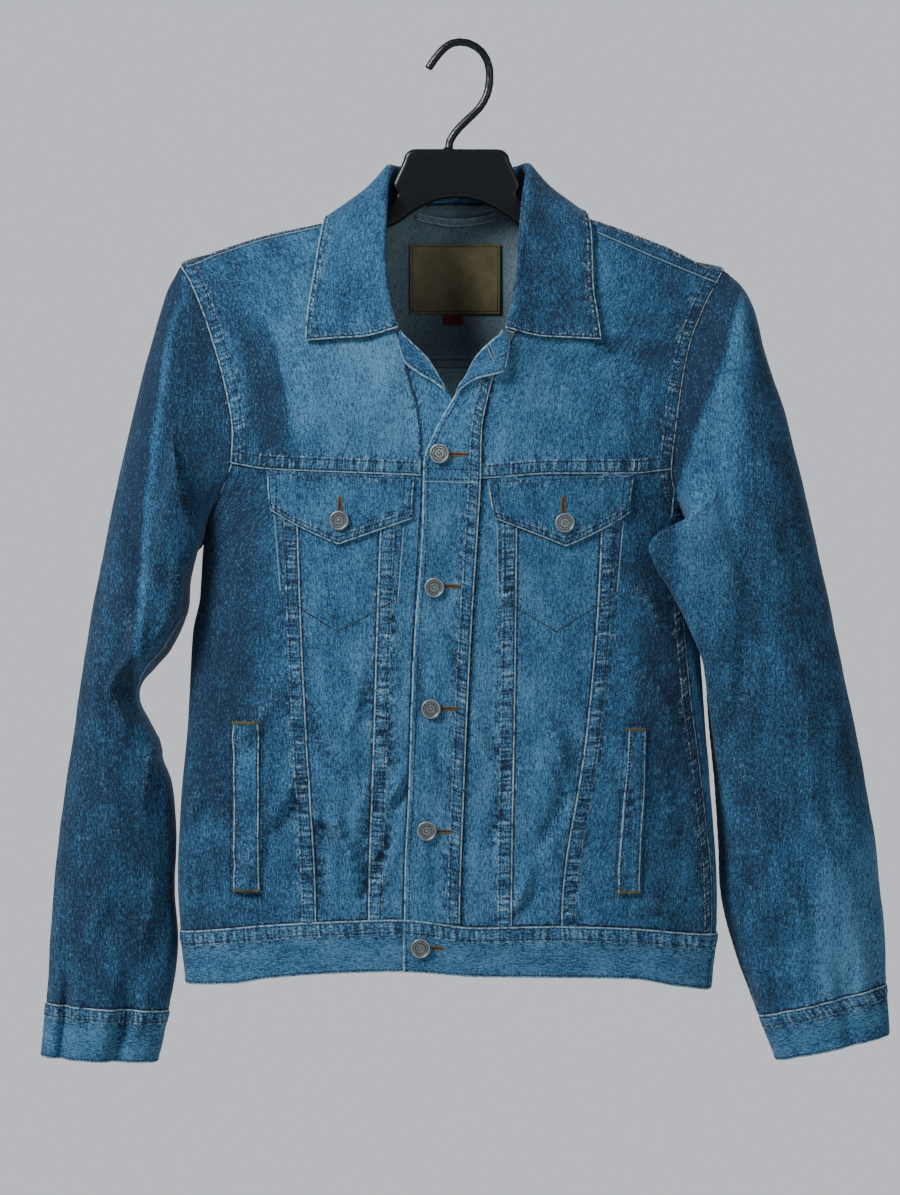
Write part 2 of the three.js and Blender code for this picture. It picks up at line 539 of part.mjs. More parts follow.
// A piece between two lists of places, straight across at its top and bottom
function strip(leftPlaces, rightPlaces, back = false) {
  return acrossLines(downLine(leftPlaces, back), downLine(rightPlaces, back));
}

function acrossLines(left, right) {
  return (u, v) => {
    const from = left(v);
    const to = right(v);
    return bodyPoint(mix(from.around, to.around, u), mix(from.z, to.z, u));
  };
}

// The way out of a surface at a share across and a share down it
function outward(place, u, v, hand) {
  const across = place(Math.min(u + STEP, 1), v).sub(place(Math.max(u - STEP, 0), v));
  const down = place(u, Math.min(v + STEP, 1)).sub(place(u, Math.max(v - STEP, 0)));
  return down.cross(across).multiplyScalar(hand).normalize();
}

function pathLength(steps, pointAt) {
  let length = 0;
  for (let index = 1; index < steps.length; index += 1) {
    length += pointAt(steps[index]).distanceTo(pointAt(steps[index - 1]));
  }
  return Math.max(length, 0.01);
}

// A wall of cloth on a surface: an outer and an inner sheet joined round their edges.
// Every edge stands back by half a gap, and the inner sheet by the bevel more, apart
// from a top edge that lies on the shoulder's ridge.
function cloth(place, columns, rows, options = {}) {
  const { inner = -CLOTH, outer = 0, hand = 1, ridge = false } = options;
  const { topGap = GAP / 2, topBevel = BEVEL, bevel = BEVEL } = options;
  const level = (amount, u, v) => (typeof amount === 'function' ? amount(u, v) : amount);
  const widths = rows.map((row) => pathLength(columns, (share) => place(share, row)));
  const heights = columns.map((column) => pathLength(rows, (share) => place(column, share)));
  const sheet = (amount, inset, topInset) =>
    rows.map((row, rowIndex) =>
      columns.map((column, columnIndex) => {
        const height = heights[columnIndex];
        const side = Math.min(inset / widths[rowIndex], 0.3);
        const start = ridge ? 0 : Math.min(topInset / height, 0.3);
        const end = Math.min(inset / height, 0.3);
        const u = mix(side, 1 - side, column);
        const v = mix(start, 1 - end, row);
        const out = outward(place, u, v, hand);
        if (ridge && row === 0) out.setY(0).normalize();
        return place(u, v).addScaledVector(out, level(amount, u, v));
      }),
    );
  const outerSheet = sheet(outer, GAP / 2, topGap);
  const innerSheet = sheet(inner, GAP / 2 + bevel, topGap + topBevel);
  const wide = columns.length;
  const tall = rows.length;
  const positions = [...outerSheet.flat(), ...innerSheet.flat()].flatMap((point) => point.toArray());
  const at = (row, column) => row * wide + column;
  const under = wide * tall;
  const triangles = [];
  const quad = (a, b, c, d) => triangles.push([a, b, c], [a, c, d]);
  for (let row = 0; row < tall - 1; row += 1) {
    for (let column = 0; column < wide - 1; column += 1) {
      const a = at(row, column);
      const b = at(row + 1, column);
      const c = at(row + 1, column + 1);
      const d = at(row, column + 1);
      quad(a, b, c, d);
      quad(under + a, under + d, under + c, under + b);
    }
  }
  const rim = [];
  for (let column = 0; column < wide - 1; column += 1) rim.push(at(0, column));
  for (let row = 0; row < tall - 1; row += 1) rim.push(at(row, wide - 1));
  for (let column = wide - 1; column > 0; column -= 1) rim.push(at(tall - 1, column));
  for (let row = tall - 1; row > 0; row -= 1) rim.push(at(row, 0));
  rim.forEach((from, index) => {
    const to = rim[(index + 1) % rim.length];
    quad(from, to, under + to, under + from);
  });
  if (hand < 0) triangles.forEach((triangle) => triangle.reverse());
  const geometry = new THREE.BufferGeometry();
  geometry.setAttribute('position', new THREE.Float32BufferAttribute(positions, 3));
  geometry.setIndex(triangles.flat());
  return geometry;
}

const jacket = new THREE.Group();

function add(name, geometry, finish) {
  const mesh = new THREE.Mesh(geometry, FINISH[finish]);
  mesh.name = name;
  jacket.add(mesh);
  return mesh;
}

// Shares down a piece that starts at a shoulder's ridge
const RIDGE_ROWS = [0.004, 0.016, 0.045];

// Front yokes, from the shoulder seam to the seam above the chest pockets
function frontYoke(name, left) {
  const tip = left ? BODY[0].left : BODY[0].right;
  const neck = left ? LEFT_NECK : RIGHT_NECK;
  const placket = left ? LEFT_PLACKET.slice(0, 6) : RIGHT_PLACKET.slice(0, 7);
  const front = placket.map((row) => ({ x: row.stitchX, z: row.stitchZ }));
  const neckEdge = downLine([...neck, ...front]);
  const armhole = left ? -1 : 1;
  const tipZ = ridgeAt(tip).z;
  const seamZ = levelsAt(left ? BODY[6].left : BODY[6].right).yoke;
  const seamEndX = front[front.length - 1].x;
  const sideEdge = (share) => ({ around: armhole, z: mix(tipZ, seamZ, share) });
  const cornerX = left ? BODY[6].left : BODY[6].right;
  const top = (share) => {
    const x = left ? mix(tip, neck[0].x, share) : mix(neck[0].x, tip, share);
    return { around: aroundAt(x, ridgeAt(x).z), z: ridgeAt(x).z };
  };
  const bottom = (share) => {
    const x = left ? mix(cornerX, seamEndX, share) : mix(seamEndX, cornerX, share);
    const z = levelsAt(x).yoke;
    return { around: aroundAt(x, z), z };
  };
  const edges = left
    ? { left: sideEdge, right: neckEdge, top, bottom }
    : { left: neckEdge, right: sideEdge, top, bottom };
  const sewn = { ridge: true, bevel: YOKE_BEVEL };
  add(name, cloth(between(edges), shares(9), shares(9, RIDGE_ROWS), sewn), 'denim');
}

// A panel between two seams that run down the body
function lowerPanel(name, leftSeam, rightSeam, options) {
  const { topLevel, bottomLevel, columns, rows, bevel = BEVEL } = options;
  const seam = (find, level) => {
    const start = find(-370).x;
    let z = levelsAt(start)[level];
    for (let pass = 0; pass < 4; pass += 1) z = levelsAt(find(z).x)[level];
    return z;
  };
  const side = (find) => {
    const from = seam(find, topLevel);
    const to = seam(find, bottomLevel);
    return (share) => {
      const z = mix(from, to, share);
      return { around: find(z).around, z };
    };
  };
  const left = side(leftSeam);
  const right = side(rightSeam);
  const level = (line, share, end) => {
    const from = left(end);
    const to = right(end);
    const around = mix(from.around, to.around, share);
    const x = bodyPoint(around, mix(from.z, to.z, share)).x;
    return { around, z: levelsAt(x)[line] };
  };
  const edges = {
    left,
    right,
    top: (share) => level(topLevel, share, 0),
    bottom: (share) => level(bottomLevel, share, 1),
  };
  add(name, cloth(between(edges), shares(columns), shares(rows), { bevel }), 'denim');
}

// A seam of the body as a place across it and round it, at any height
const downSeam = (column, back = false) => (z) => {
  const x = (back ? backSeamsAt : seamsAt)(z)[column];
  return { x, around: aroundAt(x, z, back) };
};
const sideSeam = (column) => (z) => {
  const around = sideSeamAt(z)[column];
  return { x: bodyPoint(around, z).x, around };
};
const placketSeam = (rows) => {
  const line = smooth(rows.map((row) => ({ z: row.stitchZ, x: row.stitchX })), 'z');
  return (z) => ({ x: line(z).x, around: aroundAt(line(z).x, z) });
};

function frontPanels() {
  const levels = { topLevel: 'yoke', bottomLevel: 'bandTop', rows: 15 };
  const left = [
    ['front_side_left', sideSeam('left'), downSeam('outerLeft'), 7, YOKE_BEVEL],
    ['front_middle_left', downSeam('outerLeft'), downSeam('innerLeft'), 4],
    ['front_centre_left', downSeam('innerLeft'), placketSeam(LEFT_PLACKET), 2],
  ];
  const right = [
    ['front_centre_right', placketSeam(RIGHT_PLACKET), downSeam('innerRight'), 2],
    ['front_middle_right', downSeam('innerRight'), downSeam('outerRight'), 4],
    ['front_side_right', downSeam('outerRight'), sideSeam('right'), 7, YOKE_BEVEL],
  ];
  for (const [name, from, to, columns, bevel] of [...left, ...right]) {
    lowerPanel(name, from, to, { ...levels, columns, bevel });
  }
}

// Plackets down both front edges, the right one over the left one
function plackets() {
  const list = (rows, kind) => rows.map((row) => ({ x: row[`${kind}X`], z: row[`${kind}Z`] }));
  const leftStitch = list(LEFT_PLACKET, 'stitch');
  const rightStitch = list(RIGHT_PLACKET, 'stitch');
  const leftLine = smooth([...LEFT_NECK, ...leftStitch], 'z');
  const rightLine = smooth([...RIGHT_NECK, ...rightStitch], 'z');
  const leftSewn = downLine(leftStitch, false, leftLine);
  const rightSewn = downLine(rightStitch, false, rightLine);
  const left = acrossLines(leftSewn, downLine(list(LEFT_PLACKET, 'edge')));
  const right = acrossLines(downLine(list(RIGHT_PLACKET, 'edge')), rightSewn);
  add('placket_left', cloth(left, shares(3), shares(18)), 'denim');
  const over = { inner: OVER, outer: OVER + BAND };
  add('placket_right', cloth(right, shares(3), shares(20), over), 'denim');
}

// The turned-back tops of the two fronts
function lapel(name, rows, onLeft) {
  const roll = rows.map((row) => ({ x: row.rollX, z: row.rollZ }));
  const free = rows.map((row) => ({ x: row.freeX, z: row.freeZ }));
  const place = onLeft ? strip(free, roll) : strip(roll, free);
  const base = onLeft ? OVER : OVER + BAND + GAP;
  const lift = (u, v) => {
    const at = v * (rows.length - 1);
    const index = Math.min(Math.floor(at), rows.length - 2);
    const rise = mix(rows[index].lift, rows[index + 1].lift, at - index);
    return base + rise * (onLeft ? 1 - u : u);
  };
  const options = { inner: lift, outer: (u, v) => lift(u, v) + CLOTH };
  add(name, cloth(place, shares(3), shares(8), options), 'denim');
}

// Chest flaps and the welts of the side pockets, lying on the panels
function overlays() {
  const level = { inner: OVER, outer: OVER + BAND };
  for (const [name, shape] of [['flap_left', LEFT_FLAP], ['flap_right', RIGHT_FLAP]]) {
    const sides = Object.fromEntries(
      Object.entries(shape).map(([side, places]) => {
        const found = onBody(places);
        return [side, (share) => along(found, share)];
      }),
    );
    add(name, cloth(between(sides), shares(8), shares(3), level), 'denim');
  }
  for (const [name, shape] of [['welt_left', LEFT_WELT], ['welt_right', RIGHT_WELT]]) {
    add(name, cloth(strip(shape.left, shape.right), shares(2), shares(8), level), 'denim');
  }
}

// A stretch of the waistband between two places round the body
function waistband(name, from, to, options) {
  const { columns, inner, outer, top = 'bandTop', hem = 'hem' } = options;
  const place = (u, v) => {
    const around = mix(from, to, u);
    const x = bodyPoint(around, -780).x;
    const high = levelsAt(x)[top];
    const low = levelsAt(x)[hem];
    return bodyPoint(around, mix(high, low, v));
  };
  add(name, cloth(place, shares(columns), shares(3), { inner, outer }), 'denim');
}

// The back: a yoke, a centre panel and two side panels
function backPieces() {
  const rightTip = { around: 1, z: ridgeAt(BODY[0].right).z };
  const leftTip = { around: 3, z: ridgeAt(BODY[0].left).z };
  const necks = [COLLAR[11], COLLAR[10], COLLAR[9], COLLAR[8], COLLAR[7], COLLAR[6], COLLAR[5]];
  const neck = necks.map((row) => ({ x: row.seamX, z: row.seamZ }));
  const shoulder = (from, to, count) =>
    Array.from({ length: count }, (unused, index) => {
      const x = mix(from, to, index / count);
      return { x, z: ridgeAt(x).z };
    });
  const topLine = [
    ...shoulder(BODY[0].backRight, 75, 6),
    ...neck,
    ...shoulder(-80, BODY[0].backLeft, 6).slice(1),
    { x: BODY[0].backLeft, z: ridgeAt(BODY[0].backLeft).z },
  ];
  const top = onBody(topLine, true);
  top[0] = rightTip;
  top[top.length - 1] = leftTip;
  const seamZ = LEVELS[0].backYoke;
  const edges = {
    left: (share) => ({ around: 1.0001, z: mix(rightTip.z, seamZ, share) }),
    right: (share) => ({ around: 2.9999, z: mix(leftTip.z, seamZ, share) }),
    top: (share) => along(top, share),
    bottom: (share) => {
      const x = mix(BODY[5].backRight, BODY[5].backLeft, share);
      const z = levelsAt(x).backYoke;
      return { around: aroundAt(x, z, true), z };
    },
  };
  const columns = shares(top.length - 1);
  const sewn = { ridge: true, bevel: YOKE_BEVEL };
  add('back_yoke', cloth(between(edges), columns, shares(7, RIDGE_ROWS), sewn), 'denim');
  const levels = { topLevel: 'backYoke', bottomLevel: 'backBandTop', rows: 15 };
  const rightSide = (z) => {
    const around = Math.max(sideSeamAt(z).right, z > UNDERARM ? 1.0001 : 0);
    return { x: bodyPoint(around, z).x, around };
  };
  const leftSide = (z) => ({ x: bodyPoint(2.9999, z).x, around: 2.9999 });
  const seamRight = downSeam('backRight', true);
  const seamLeft = downSeam('backLeft', true);
  lowerPanel('back_side_right', rightSide, seamRight, { ...levels, columns: 8 });
  lowerPanel('back_centre', seamRight, seamLeft, { ...levels, columns: 7 });
  lowerPanel('back_side_left', seamLeft, leftSide, { ...levels, columns: 7 });
}

// The collar: a stand up from the neck seam, a fold, and a leaf down onto the body
function collar() {
  const stations = COLLAR.map((row) => {
    const back = row.side < 0;
    const onBodyAt = (x, z) => {
      const around = aroundAt(x, z, back);
      const place = (u, v) => bodyPoint(around + (u - 0.5) * 0.02, z - (v - 0.5) * 2);
      return { point: bodyPoint(around, z), out: outward(place, 0.5, 0.5, 1) };
    };
    const seam = onBodyAt(row.seamX, row.seamZ);
    const edge = onBodyAt(row.edgeX, row.edgeZ);
    const fold = new THREE.Vector3(row.foldX, row.foldY, row.foldZ);
    return { seam, edge, fold, back };
  });
  const offBody = (point, back) => {
    const under = bodyPoint(aroundAt(point.x, point.z, back), point.z);
    const near = back ? point.y - under.y : under.y - point.y;
    const ridge = ridgeAt(point.x).z;
    if (point.z > ridge) point.z = Math.max(point.z, ridge + COLLAR_CLEAR);
    else if (near < COLLAR_CLEAR) point.y = under.y + (back ? 1 : -1) * COLLAR_CLEAR;
    return point;
  };
  const sections = stations.map(({ seam, edge, fold, back }) => {
    const flat = clamp(1 - fold.distanceTo(seam.point) / 24, 0, 1);
    const foot = seam.point.clone().addScaledVector(seam.out, OVER + BAND * flat);
    const hem = edge.point.clone().addScaledVector(edge.out, COLLAR_CLEAR);
    const outWay = hem.clone().sub(fold).setZ(0).normalize();
    const rise = fold.clone().sub(foot).length();
    const wide = Math.min(COLLAR_FOLD, 1.4 + rise * 0.12);
    const inFold = fold.clone().setZ(fold.z - wide);
    const outFold = fold.clone().addScaledVector(outWay, wide * 1.6).setZ(fold.z - wide * 0.8);
    const top = fold.clone().addScaledVector(outWay, wide * 0.7);
    const leaf = (share, sag) => {
      const point = outFold.clone().lerp(hem, share);
      return offBody(point.setZ(point.z - sag), back);
    };
    const shoulder = leaf(0.3, 3);
    const lower = leaf(0.65, 1.5);
    const stand = [foot, foot.clone().lerp(inFold, 0.5), inFold, top];
    return [...stand, offBody(outFold, back), shoulder, lower, offBody(hem, back)];
  });
  const place = (u, v) => {
    const at = u * (sections.length - 1);
    const index = Math.min(Math.floor(at), sections.length - 2);
    const down = v * (sections[0].length - 1);
    const row = Math.min(Math.floor(down), sections[0].length - 2);
    const one = sections[index][row].clone().lerp(sections[index][row + 1], down - row);
    const two = sections[index + 1][row].clone().lerp(sections[index + 1][row + 1], down - row);
    return one.lerp(two, at - index);
  };
  const options = { inner: 0, outer: BAND - 0.4, hand: -1 };
  add('collar', cloth(place, shares(sections.length - 1), shares(7), options), 'denim');
}

// A point on a sleeve: row 0 is the armhole, and degrees run from the outer side over
// the front to the inner side and back behind.
function sleevePoint(left, row, degrees) {
  const sections = left ? LEFT_SLEEVE : RIGHT_SLEEVE;
  const turn = THREE.MathUtils.degToRad(degrees);
  const sine = Math.sin(turn);
  const cosine = Math.cos(turn);
  const back = sine < 0;
  const ring = (section) => {
    const x = mix(section.innerX, section.outerX, (1 + cosine) / 2);
    const z = mix(section.innerZ, section.outerZ, (1 + cosine) / 2);
    const deep = Math.abs(sine) ** 0.85 * (back ? section.back : section.front);
    return new THREE.Vector3(x, section.middle + (back ? deep : -deep), z);
  };
  const armhole = () => {
    const tip = ridgeAt(left ? BODY[0].left : BODY[0].right).z;
    const z = mix(UNDERARM, tip, (1 + cosine) / 2);
    const side = left ? -1 : 1;
    return bodyPoint(side * (back ? 1.0001 : 1), z);
  };
  const last = sections.length;
  const at = clamp(row, 0, last);
  const index = Math.min(Math.floor(at), last - 1);
  const ringAt = (number) => (number <= 0 ? armhole() : ring(sections[Math.min(number, last) - 1]));
  const before = ringAt(Math.max(index - 1, 0));
  const from = ringAt(index);
  const to = ringAt(index + 1);
  const after = ringAt(Math.min(index + 2, last));
  const t = at - index;
  const leave = to.clone().sub(before).multiplyScalar(0.5);
  const arrive = after.clone().sub(from).multiplyScalar(0.5);
  const blend = t * t * (3 - 2 * t);
  const point = from.clone().lerp(to, blend);
  point.addScaledVector(leave, t * (1 - t) * (1 - t)).addScaledVector(arrive, -t * t * (1 - t));
  return point.add(sleeveFolds(left, at, degrees));
}

const leftLobeAt = smooth(LEFT_LOBE, 'row');
const rightLobeAt = smooth(RIGHT_LOBE, 'row');

// What the large folds move a point of a sleeve by
function sleeveFolds(left, row, degrees) {
  const lobe = left ? leftLobeAt(row) : rightLobeAt(row);
  const away = degrees - LOBE_AT;
  const toBody = left ? 1 : -1;
  const x = toBody * lobe.across * bump(away / LOBE_HALF);
  let forward = lobe.forward * bump(away / LOBE_FORWARD_HALF);
  if (left) {
    const inner = clamp((degrees - CREASE.at) / (180 - CREASE.at), 0, 1);
    const end = mix(CREASE.endOuter, CREASE.endInner, inner);
    const start = ramp(row, CREASE.firstRow, CREASE.firstRow + 1.5);
    const stop = 1 - ramp(row, end - CREASE.fade, end + CREASE.fade);
    const lifted = ramp(degrees, CREASE.at - CREASE.half, CREASE.at + CREASE.half);
    const fade = 1 - ramp(degrees, 150, 185);
    forward += CREASE.lift * start * stop * lifted * fade;
  }
  const cuffShare = ramp(row, LAST_SLEEVE_ROW - 1.5, LAST_SLEEVE_ROW + 0.2);
  if (degrees > 0 && degrees < 180 && cuffShare > 0) {
    const share = (1 - Math.cos(THREE.MathUtils.degToRad(degrees))) / 2;
    forward += wavesAt(left ? share : 1 - share).lift * cuffShare * (left ? 1 : 0.5);
  }
  return new THREE.Vector3(x, -forward, 0);
}

// One sleeve of two pieces and its cuff
function sleeve(left) {
  const side = left ? 'left' : 'right';
  const hand = left ? 1 : -1;
  const seamAt = (row) => {
    const [high, middle, low] = SLEEVE_SEAMS.front[side];
    const at = row / LAST_SLEEVE_ROW;
    return at < 0.4 ? mix(high, middle, at / 0.4) : mix(middle, low, (at - 0.4) / 0.6);
  };
  const rows = shares(15);
  const upper = (u, v) => {
    const row = v * LAST_SLEEVE_ROW;
    return sleevePoint(left, row, mix(SLEEVE_SEAMS.back, seamAt(row), u));
  };
  const under = (u, v) => {
    const row = v * LAST_SLEEVE_ROW;
    return sleevePoint(left, row, mix(seamAt(row), SLEEVE_SEAMS.back + 360, u));
  };
  const sewn = { hand, topGap: ARMHOLE_GAP, topBevel: ARMHOLE_BEVEL, bevel: SLEEVE_BEVEL };
  add(`sleeve_upper_${side}`, cloth(upper, shares(16), rows, sewn), 'denim');
  add(`sleeve_under_${side}`, cloth(under, shares(8), rows, sewn), 'denim');
  const opening = -70;
  const cuff = (u, v) => {
    const row = mix(LAST_SLEEVE_ROW, CUFF_ROW, v);
    return sleevePoint(left, row, mix(opening, opening + 360, u));
  };
  const band = { hand, inner: -BAND + 0.6, outer: 0.6 };
  add(`cuff_${side}`, cloth(cuff, shares(26), shares(2), band), 'denim');
  const place = (u, v) => cuff(mix(0.01, 0.09, u), v);
  const seat = place(0.5, 0.5);
  const out = outward(place, 0.5, 0.5, hand);
  button(`button_cuff_${side}`, seat.addScaledVector(out, 0.6 + GAP), out);
}

// A metal button: a dished face with two raised rings
function buttonShape() {
  const radius = BUTTON_RADIUS;
  const profile = [
    [0, 0],
    [radius * 0.78, 0],
    [radius, BUTTON_HEIGHT * 0.45],
    [radius * 0.9, BUTTON_HEIGHT],
    [radius * 0.68, BUTTON_HEIGHT * 0.74],
    [radius * 0.52, BUTTON_HEIGHT * 0.92],
    [radius * 0.34, BUTTON_HEIGHT * 0.78],
    [0, BUTTON_HEIGHT * 0.86],
  ];
  const points = profile.map(([across, up]) => new THREE.Vector2(across, up));
  return merged(new THREE.LatheGeometry(points, BUTTON_FACETS));
}

function button(name, seat, out) {
  const mesh = add(name, buttonShape(), 'metal');
  mesh.position.copy(seat);
  mesh.quaternion.setFromUnitVectors(new THREE.Vector3(0, 1, 0), out);
}

// Only positions are kept, so that shared corners become one
function merged(geometry) {
  const plain = geometry.clone();
  plain.deleteAttribute('normal');
  plain.deleteAttribute('uv');
  return mergeVertices(plain, 1e-3);
}

function buttonOnBody(name, x, z, rise) {
  const around = aroundAt(x, z);
  const place = (u, v) => bodyPoint(around + (u - 0.5) * 0.05, z - (v - 0.5) * 10);
  const out = outward(place, 0.5, 0.5, 1);
  button(name, bodyPoint(around, z).addScaledVector(out, rise), out);
}

function buttons() {
  const onPlacket = OVER + BAND + GAP;
  PLACKET_BUTTONS.forEach(({ x, z }, index) => {
    buttonOnBody(`button_front_${index + 1}`, x, z, onPlacket);
  });
  buttonOnBody('button_waistband', BAND_BUTTON.x, BAND_BUTTON.z, onPlacket);
  for (const { name, x, z } of FLAP_BUTTONS) buttonOnBody(name, x, z, onPlacket);
}

// The patch, the tab and the hanging loop inside the back of the neck
function neckTrims() {
  const inside = (box) => {
    const sides = (x) => [{ x, z: box.top }, { x, z: box.bottom }];
    return strip(sides(box.right), sides(box.left), true);
  };
  const under = (box, lift) => ({ inner: -CLOTH - lift - box.thick, outer: -CLOTH - lift });
  add('neck_patch', cloth(inside(PATCH), shares(4), shares(4), under(PATCH, TRIM_CLEAR)), 'leather');
  add('neck_tab', cloth(inside(TAB), shares(1), shares(1), under(TAB, TRIM_CLEAR)), 'tab');
  const loop = (u, v) => {
    const x = mix(LOOP.right, LOOP.left, u);
    const sag = LOOP.bow * (1 - (2 * u - 1) ** 2);
    const z = -138 - sag - v * LOOP.width;
    return bodyPoint(aroundAt(x, z, true), z);
  };
  const stand = (u) => -CLOTH - GAP - LOOP.stand * Math.sin(Math.PI * u);
  const options = { inner: (u) => stand(u) - LOOP.thick, outer: stand };
  add('hanging_loop', cloth(loop, shares(8), shares(1), options), 'denim');
}

// A closed geometry as a solid that can be joined, and back
const wasm = await Module();
wasm.setup();

function solid(geometry) {
  const plain = merged(geometry);
  return new wasm.Manifold(
    new wasm.Mesh({
      numProp: 3,
      vertProperties: new Float32Array(plain.attributes.position.array),
      triVerts: new Uint32Array(plain.index.array),
    }),
  );
}

function fromSolid(joined) {
  const mesh = joined.getMesh();
  const geometry = new THREE.BufferGeometry();
  geometry.setAttribute('position', new THREE.Float32BufferAttribute([...mesh.vertProperties], 3));
  geometry.setIndex([...mesh.triVerts]);
  return geometry;
}

// Pares a piece where it meets its neighbours, so that a gap stays all round them
function pare(name, neighbours) {
  const mesh = jacket.getObjectByName(name);
  let left = solid(mesh.geometry);
  for (const neighbour of neighbours) {
    const other = solid(jacket.getObjectByName(neighbour).geometry);
    if (left.intersect(other).volume() === 0) continue;
    for (const shift of [-GAP, GAP]) {
      left = left.subtract(other.translate([shift, 0, 0]));
      left = left.subtract(other.translate([0, shift, 0]));
      left = left.subtract(other.translate([0, 0, shift]));
    }
  }
  const pieces = left.simplify(PARE_TOLERANCE).decompose();
  pieces.sort((first, second) => second.volume() - first.volume());
  mesh.geometry = fromSolid(pieces[0]);
}

// An outline in the hanger's plane, given its thickness with rounded edges
function slab(outline, halfThick) {
  const shape = new THREE.Shape(outline.map(({ x, z }) => new THREE.Vector2(x, z)));
  const round = 2.4;
  const geometry = new THREE.ExtrudeGeometry(shape, {
    depth: 2 * (halfThick - round),
    bevelEnabled: true,
    bevelThickness: round,
    bevelSize: round,
    bevelOffset: -round,
    bevelSegments: 1,
    curveSegments: 6,
  });
  geometry.translate(0, 0, -(halfThick - round));
  geometry.rotateX(Math.PI / 2);
  return geometry;
}

// The plate under the hook: a low trapezoid with round corners
function plateOutline() {
  const { left, right, top, bottom, taper, corner } = PLATE;
  const steps = 4;
  const turns = [
    { x: right - corner, z: bottom + corner, from: -90 },
    { x: right - taper - corner, z: top - corner, from: 0 },
    { x: left + taper + corner, z: top - corner, from: 90 },
    { x: left + corner, z: bottom + corner, from: 180 },
  ];
  return turns.flatMap(({ x, z, from }) =>
    Array.from({ length: steps + 1 }, (unused, index) => {
      const turn = THREE.MathUtils.degToRad(from + (index / steps) * 90);
      return { x: x + corner * Math.cos(turn), z: z + corner * Math.sin(turn) };
    }),
  );
}

// The two arms, which follow the shoulder seams just under the cloth
function armsOutline() {
  const stations = (tip, neck) =>
    Array.from({ length: ARM_STATIONS }, (unused, index) => {
      const share = index / (ARM_STATIONS - 1);
      const x = mix(neck, tip, share);
      const top = ridgeAt(x).z - CLOTH - ARM_TOP_CLEAR;
      return { x, top, bottom: top - mix(ARM_TALL_INNER, ARM_TALL_OUTER, share) };
    });
  const right = stations(BODY[0].right - ARM_END, 84);
  const left = stations(BODY[0].left + ARM_END, -88);
  const archPoint = (share) => {
    const x = mix(ARM_ARCH.left, ARM_ARCH.right, share);
    const rise = 1 - Math.abs((x - ARM_ARCH.topX) / (ARM_ARCH.right - ARM_ARCH.topX)) ** 2;
    return { x, z: mix(ARM_ARCH.z, ARM_ARCH.topZ, Math.max(rise, 0)) };
  };
  const arch = shares(10).map(archPoint);
  return [
    ...arch,
    ...right.map(({ x, bottom }) => ({ x, z: bottom })),
    ...[...right].reverse().map(({ x, top }) => ({ x, z: top })),
    ...ARM_NECK,
    ...left.map(({ x, top }) => ({ x, z: top })),
    ...[...left].reverse().map(({ x, bottom }) => ({ x, z: bottom })),
  ];
}

function hanger() {
  const path = new THREE.CatmullRomCurve3(HOOK.map(({ x, z }) => new THREE.Vector3(x, 0, z)));
  const section = new THREE.Shape().absarc(0, 0, HOOK_RADIUS, 0, Math.PI * 2);
  const hook = new THREE.ExtrudeGeometry(section, { steps: 22, extrudePath: path, curveSegments: 4 });
  const joined = solid(slab(plateOutline(), PLATE_HALF_THICK))
    .add(solid(slab(armsOutline(), ARM_HALF_THICK)))
    .add(solid(hook));
  add('hanger', fromSolid(joined.simplify(0.02)), 'plastic');
}

frontYoke('front_yoke_left', true);
frontYoke('front_yoke_right', false);
frontPanels();
plackets();
lapel('lapel_left', LEFT_LAPEL, true);
lapel('lapel_right', RIGHT_LAPEL, false);
overlays();
waistband('waistband_left', -1, aroundAt(6, -780), { columns: 14, inner: -BAND, outer: 0 });
waistband('waistband_right', aroundAt(-48.5, -780), SIDE_SEAM[7].right, {
  columns: 16,
  inner: OVER,
  outer: OVER + BAND,
});
waistband('waistband_back', SIDE_SEAM[7].right, 3, {
  columns: 24,
  inner: -BAND + 1,
  outer: 1,
  top: 'backBandTop',
  hem: 'backHem',
});
backPieces();
collar();
sleeve(true);
sleeve(false);
buttons();
neckTrims();
hanger();

pare('back_yoke', ['front_yoke_left', 'front_yoke_right']);
pare('collar', ['back_yoke', 'front_yoke_left', 'front_yoke_right']);
for (const side of ['left', 'right']) {
  const body = [`front_yoke_${side}`, `front_side_${side}`, `back_side_${side}`, 'back_yoke'];
  pare(`sleeve_upper_${side}`, body);
  pare(`sleeve_under_${side}`, [...body, `sleeve_upper_${side}`]);
}

export default jacket;
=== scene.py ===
# %% [markdown]
# # A denim jacket on its hanger
# The jacket is sewn from some thirty flat pieces of denim. Each one is modelled here as
# its own thin piece of cloth, laid on the form that the jacket takes when it hangs.
# The model loads first, because every piece takes the place of a solid in it.

# %% Load the frame
import json
import math

import bpy
import numpy as np
from mathutils import Matrix, Vector, noise
from mathutils.bvhtree import BVHTree

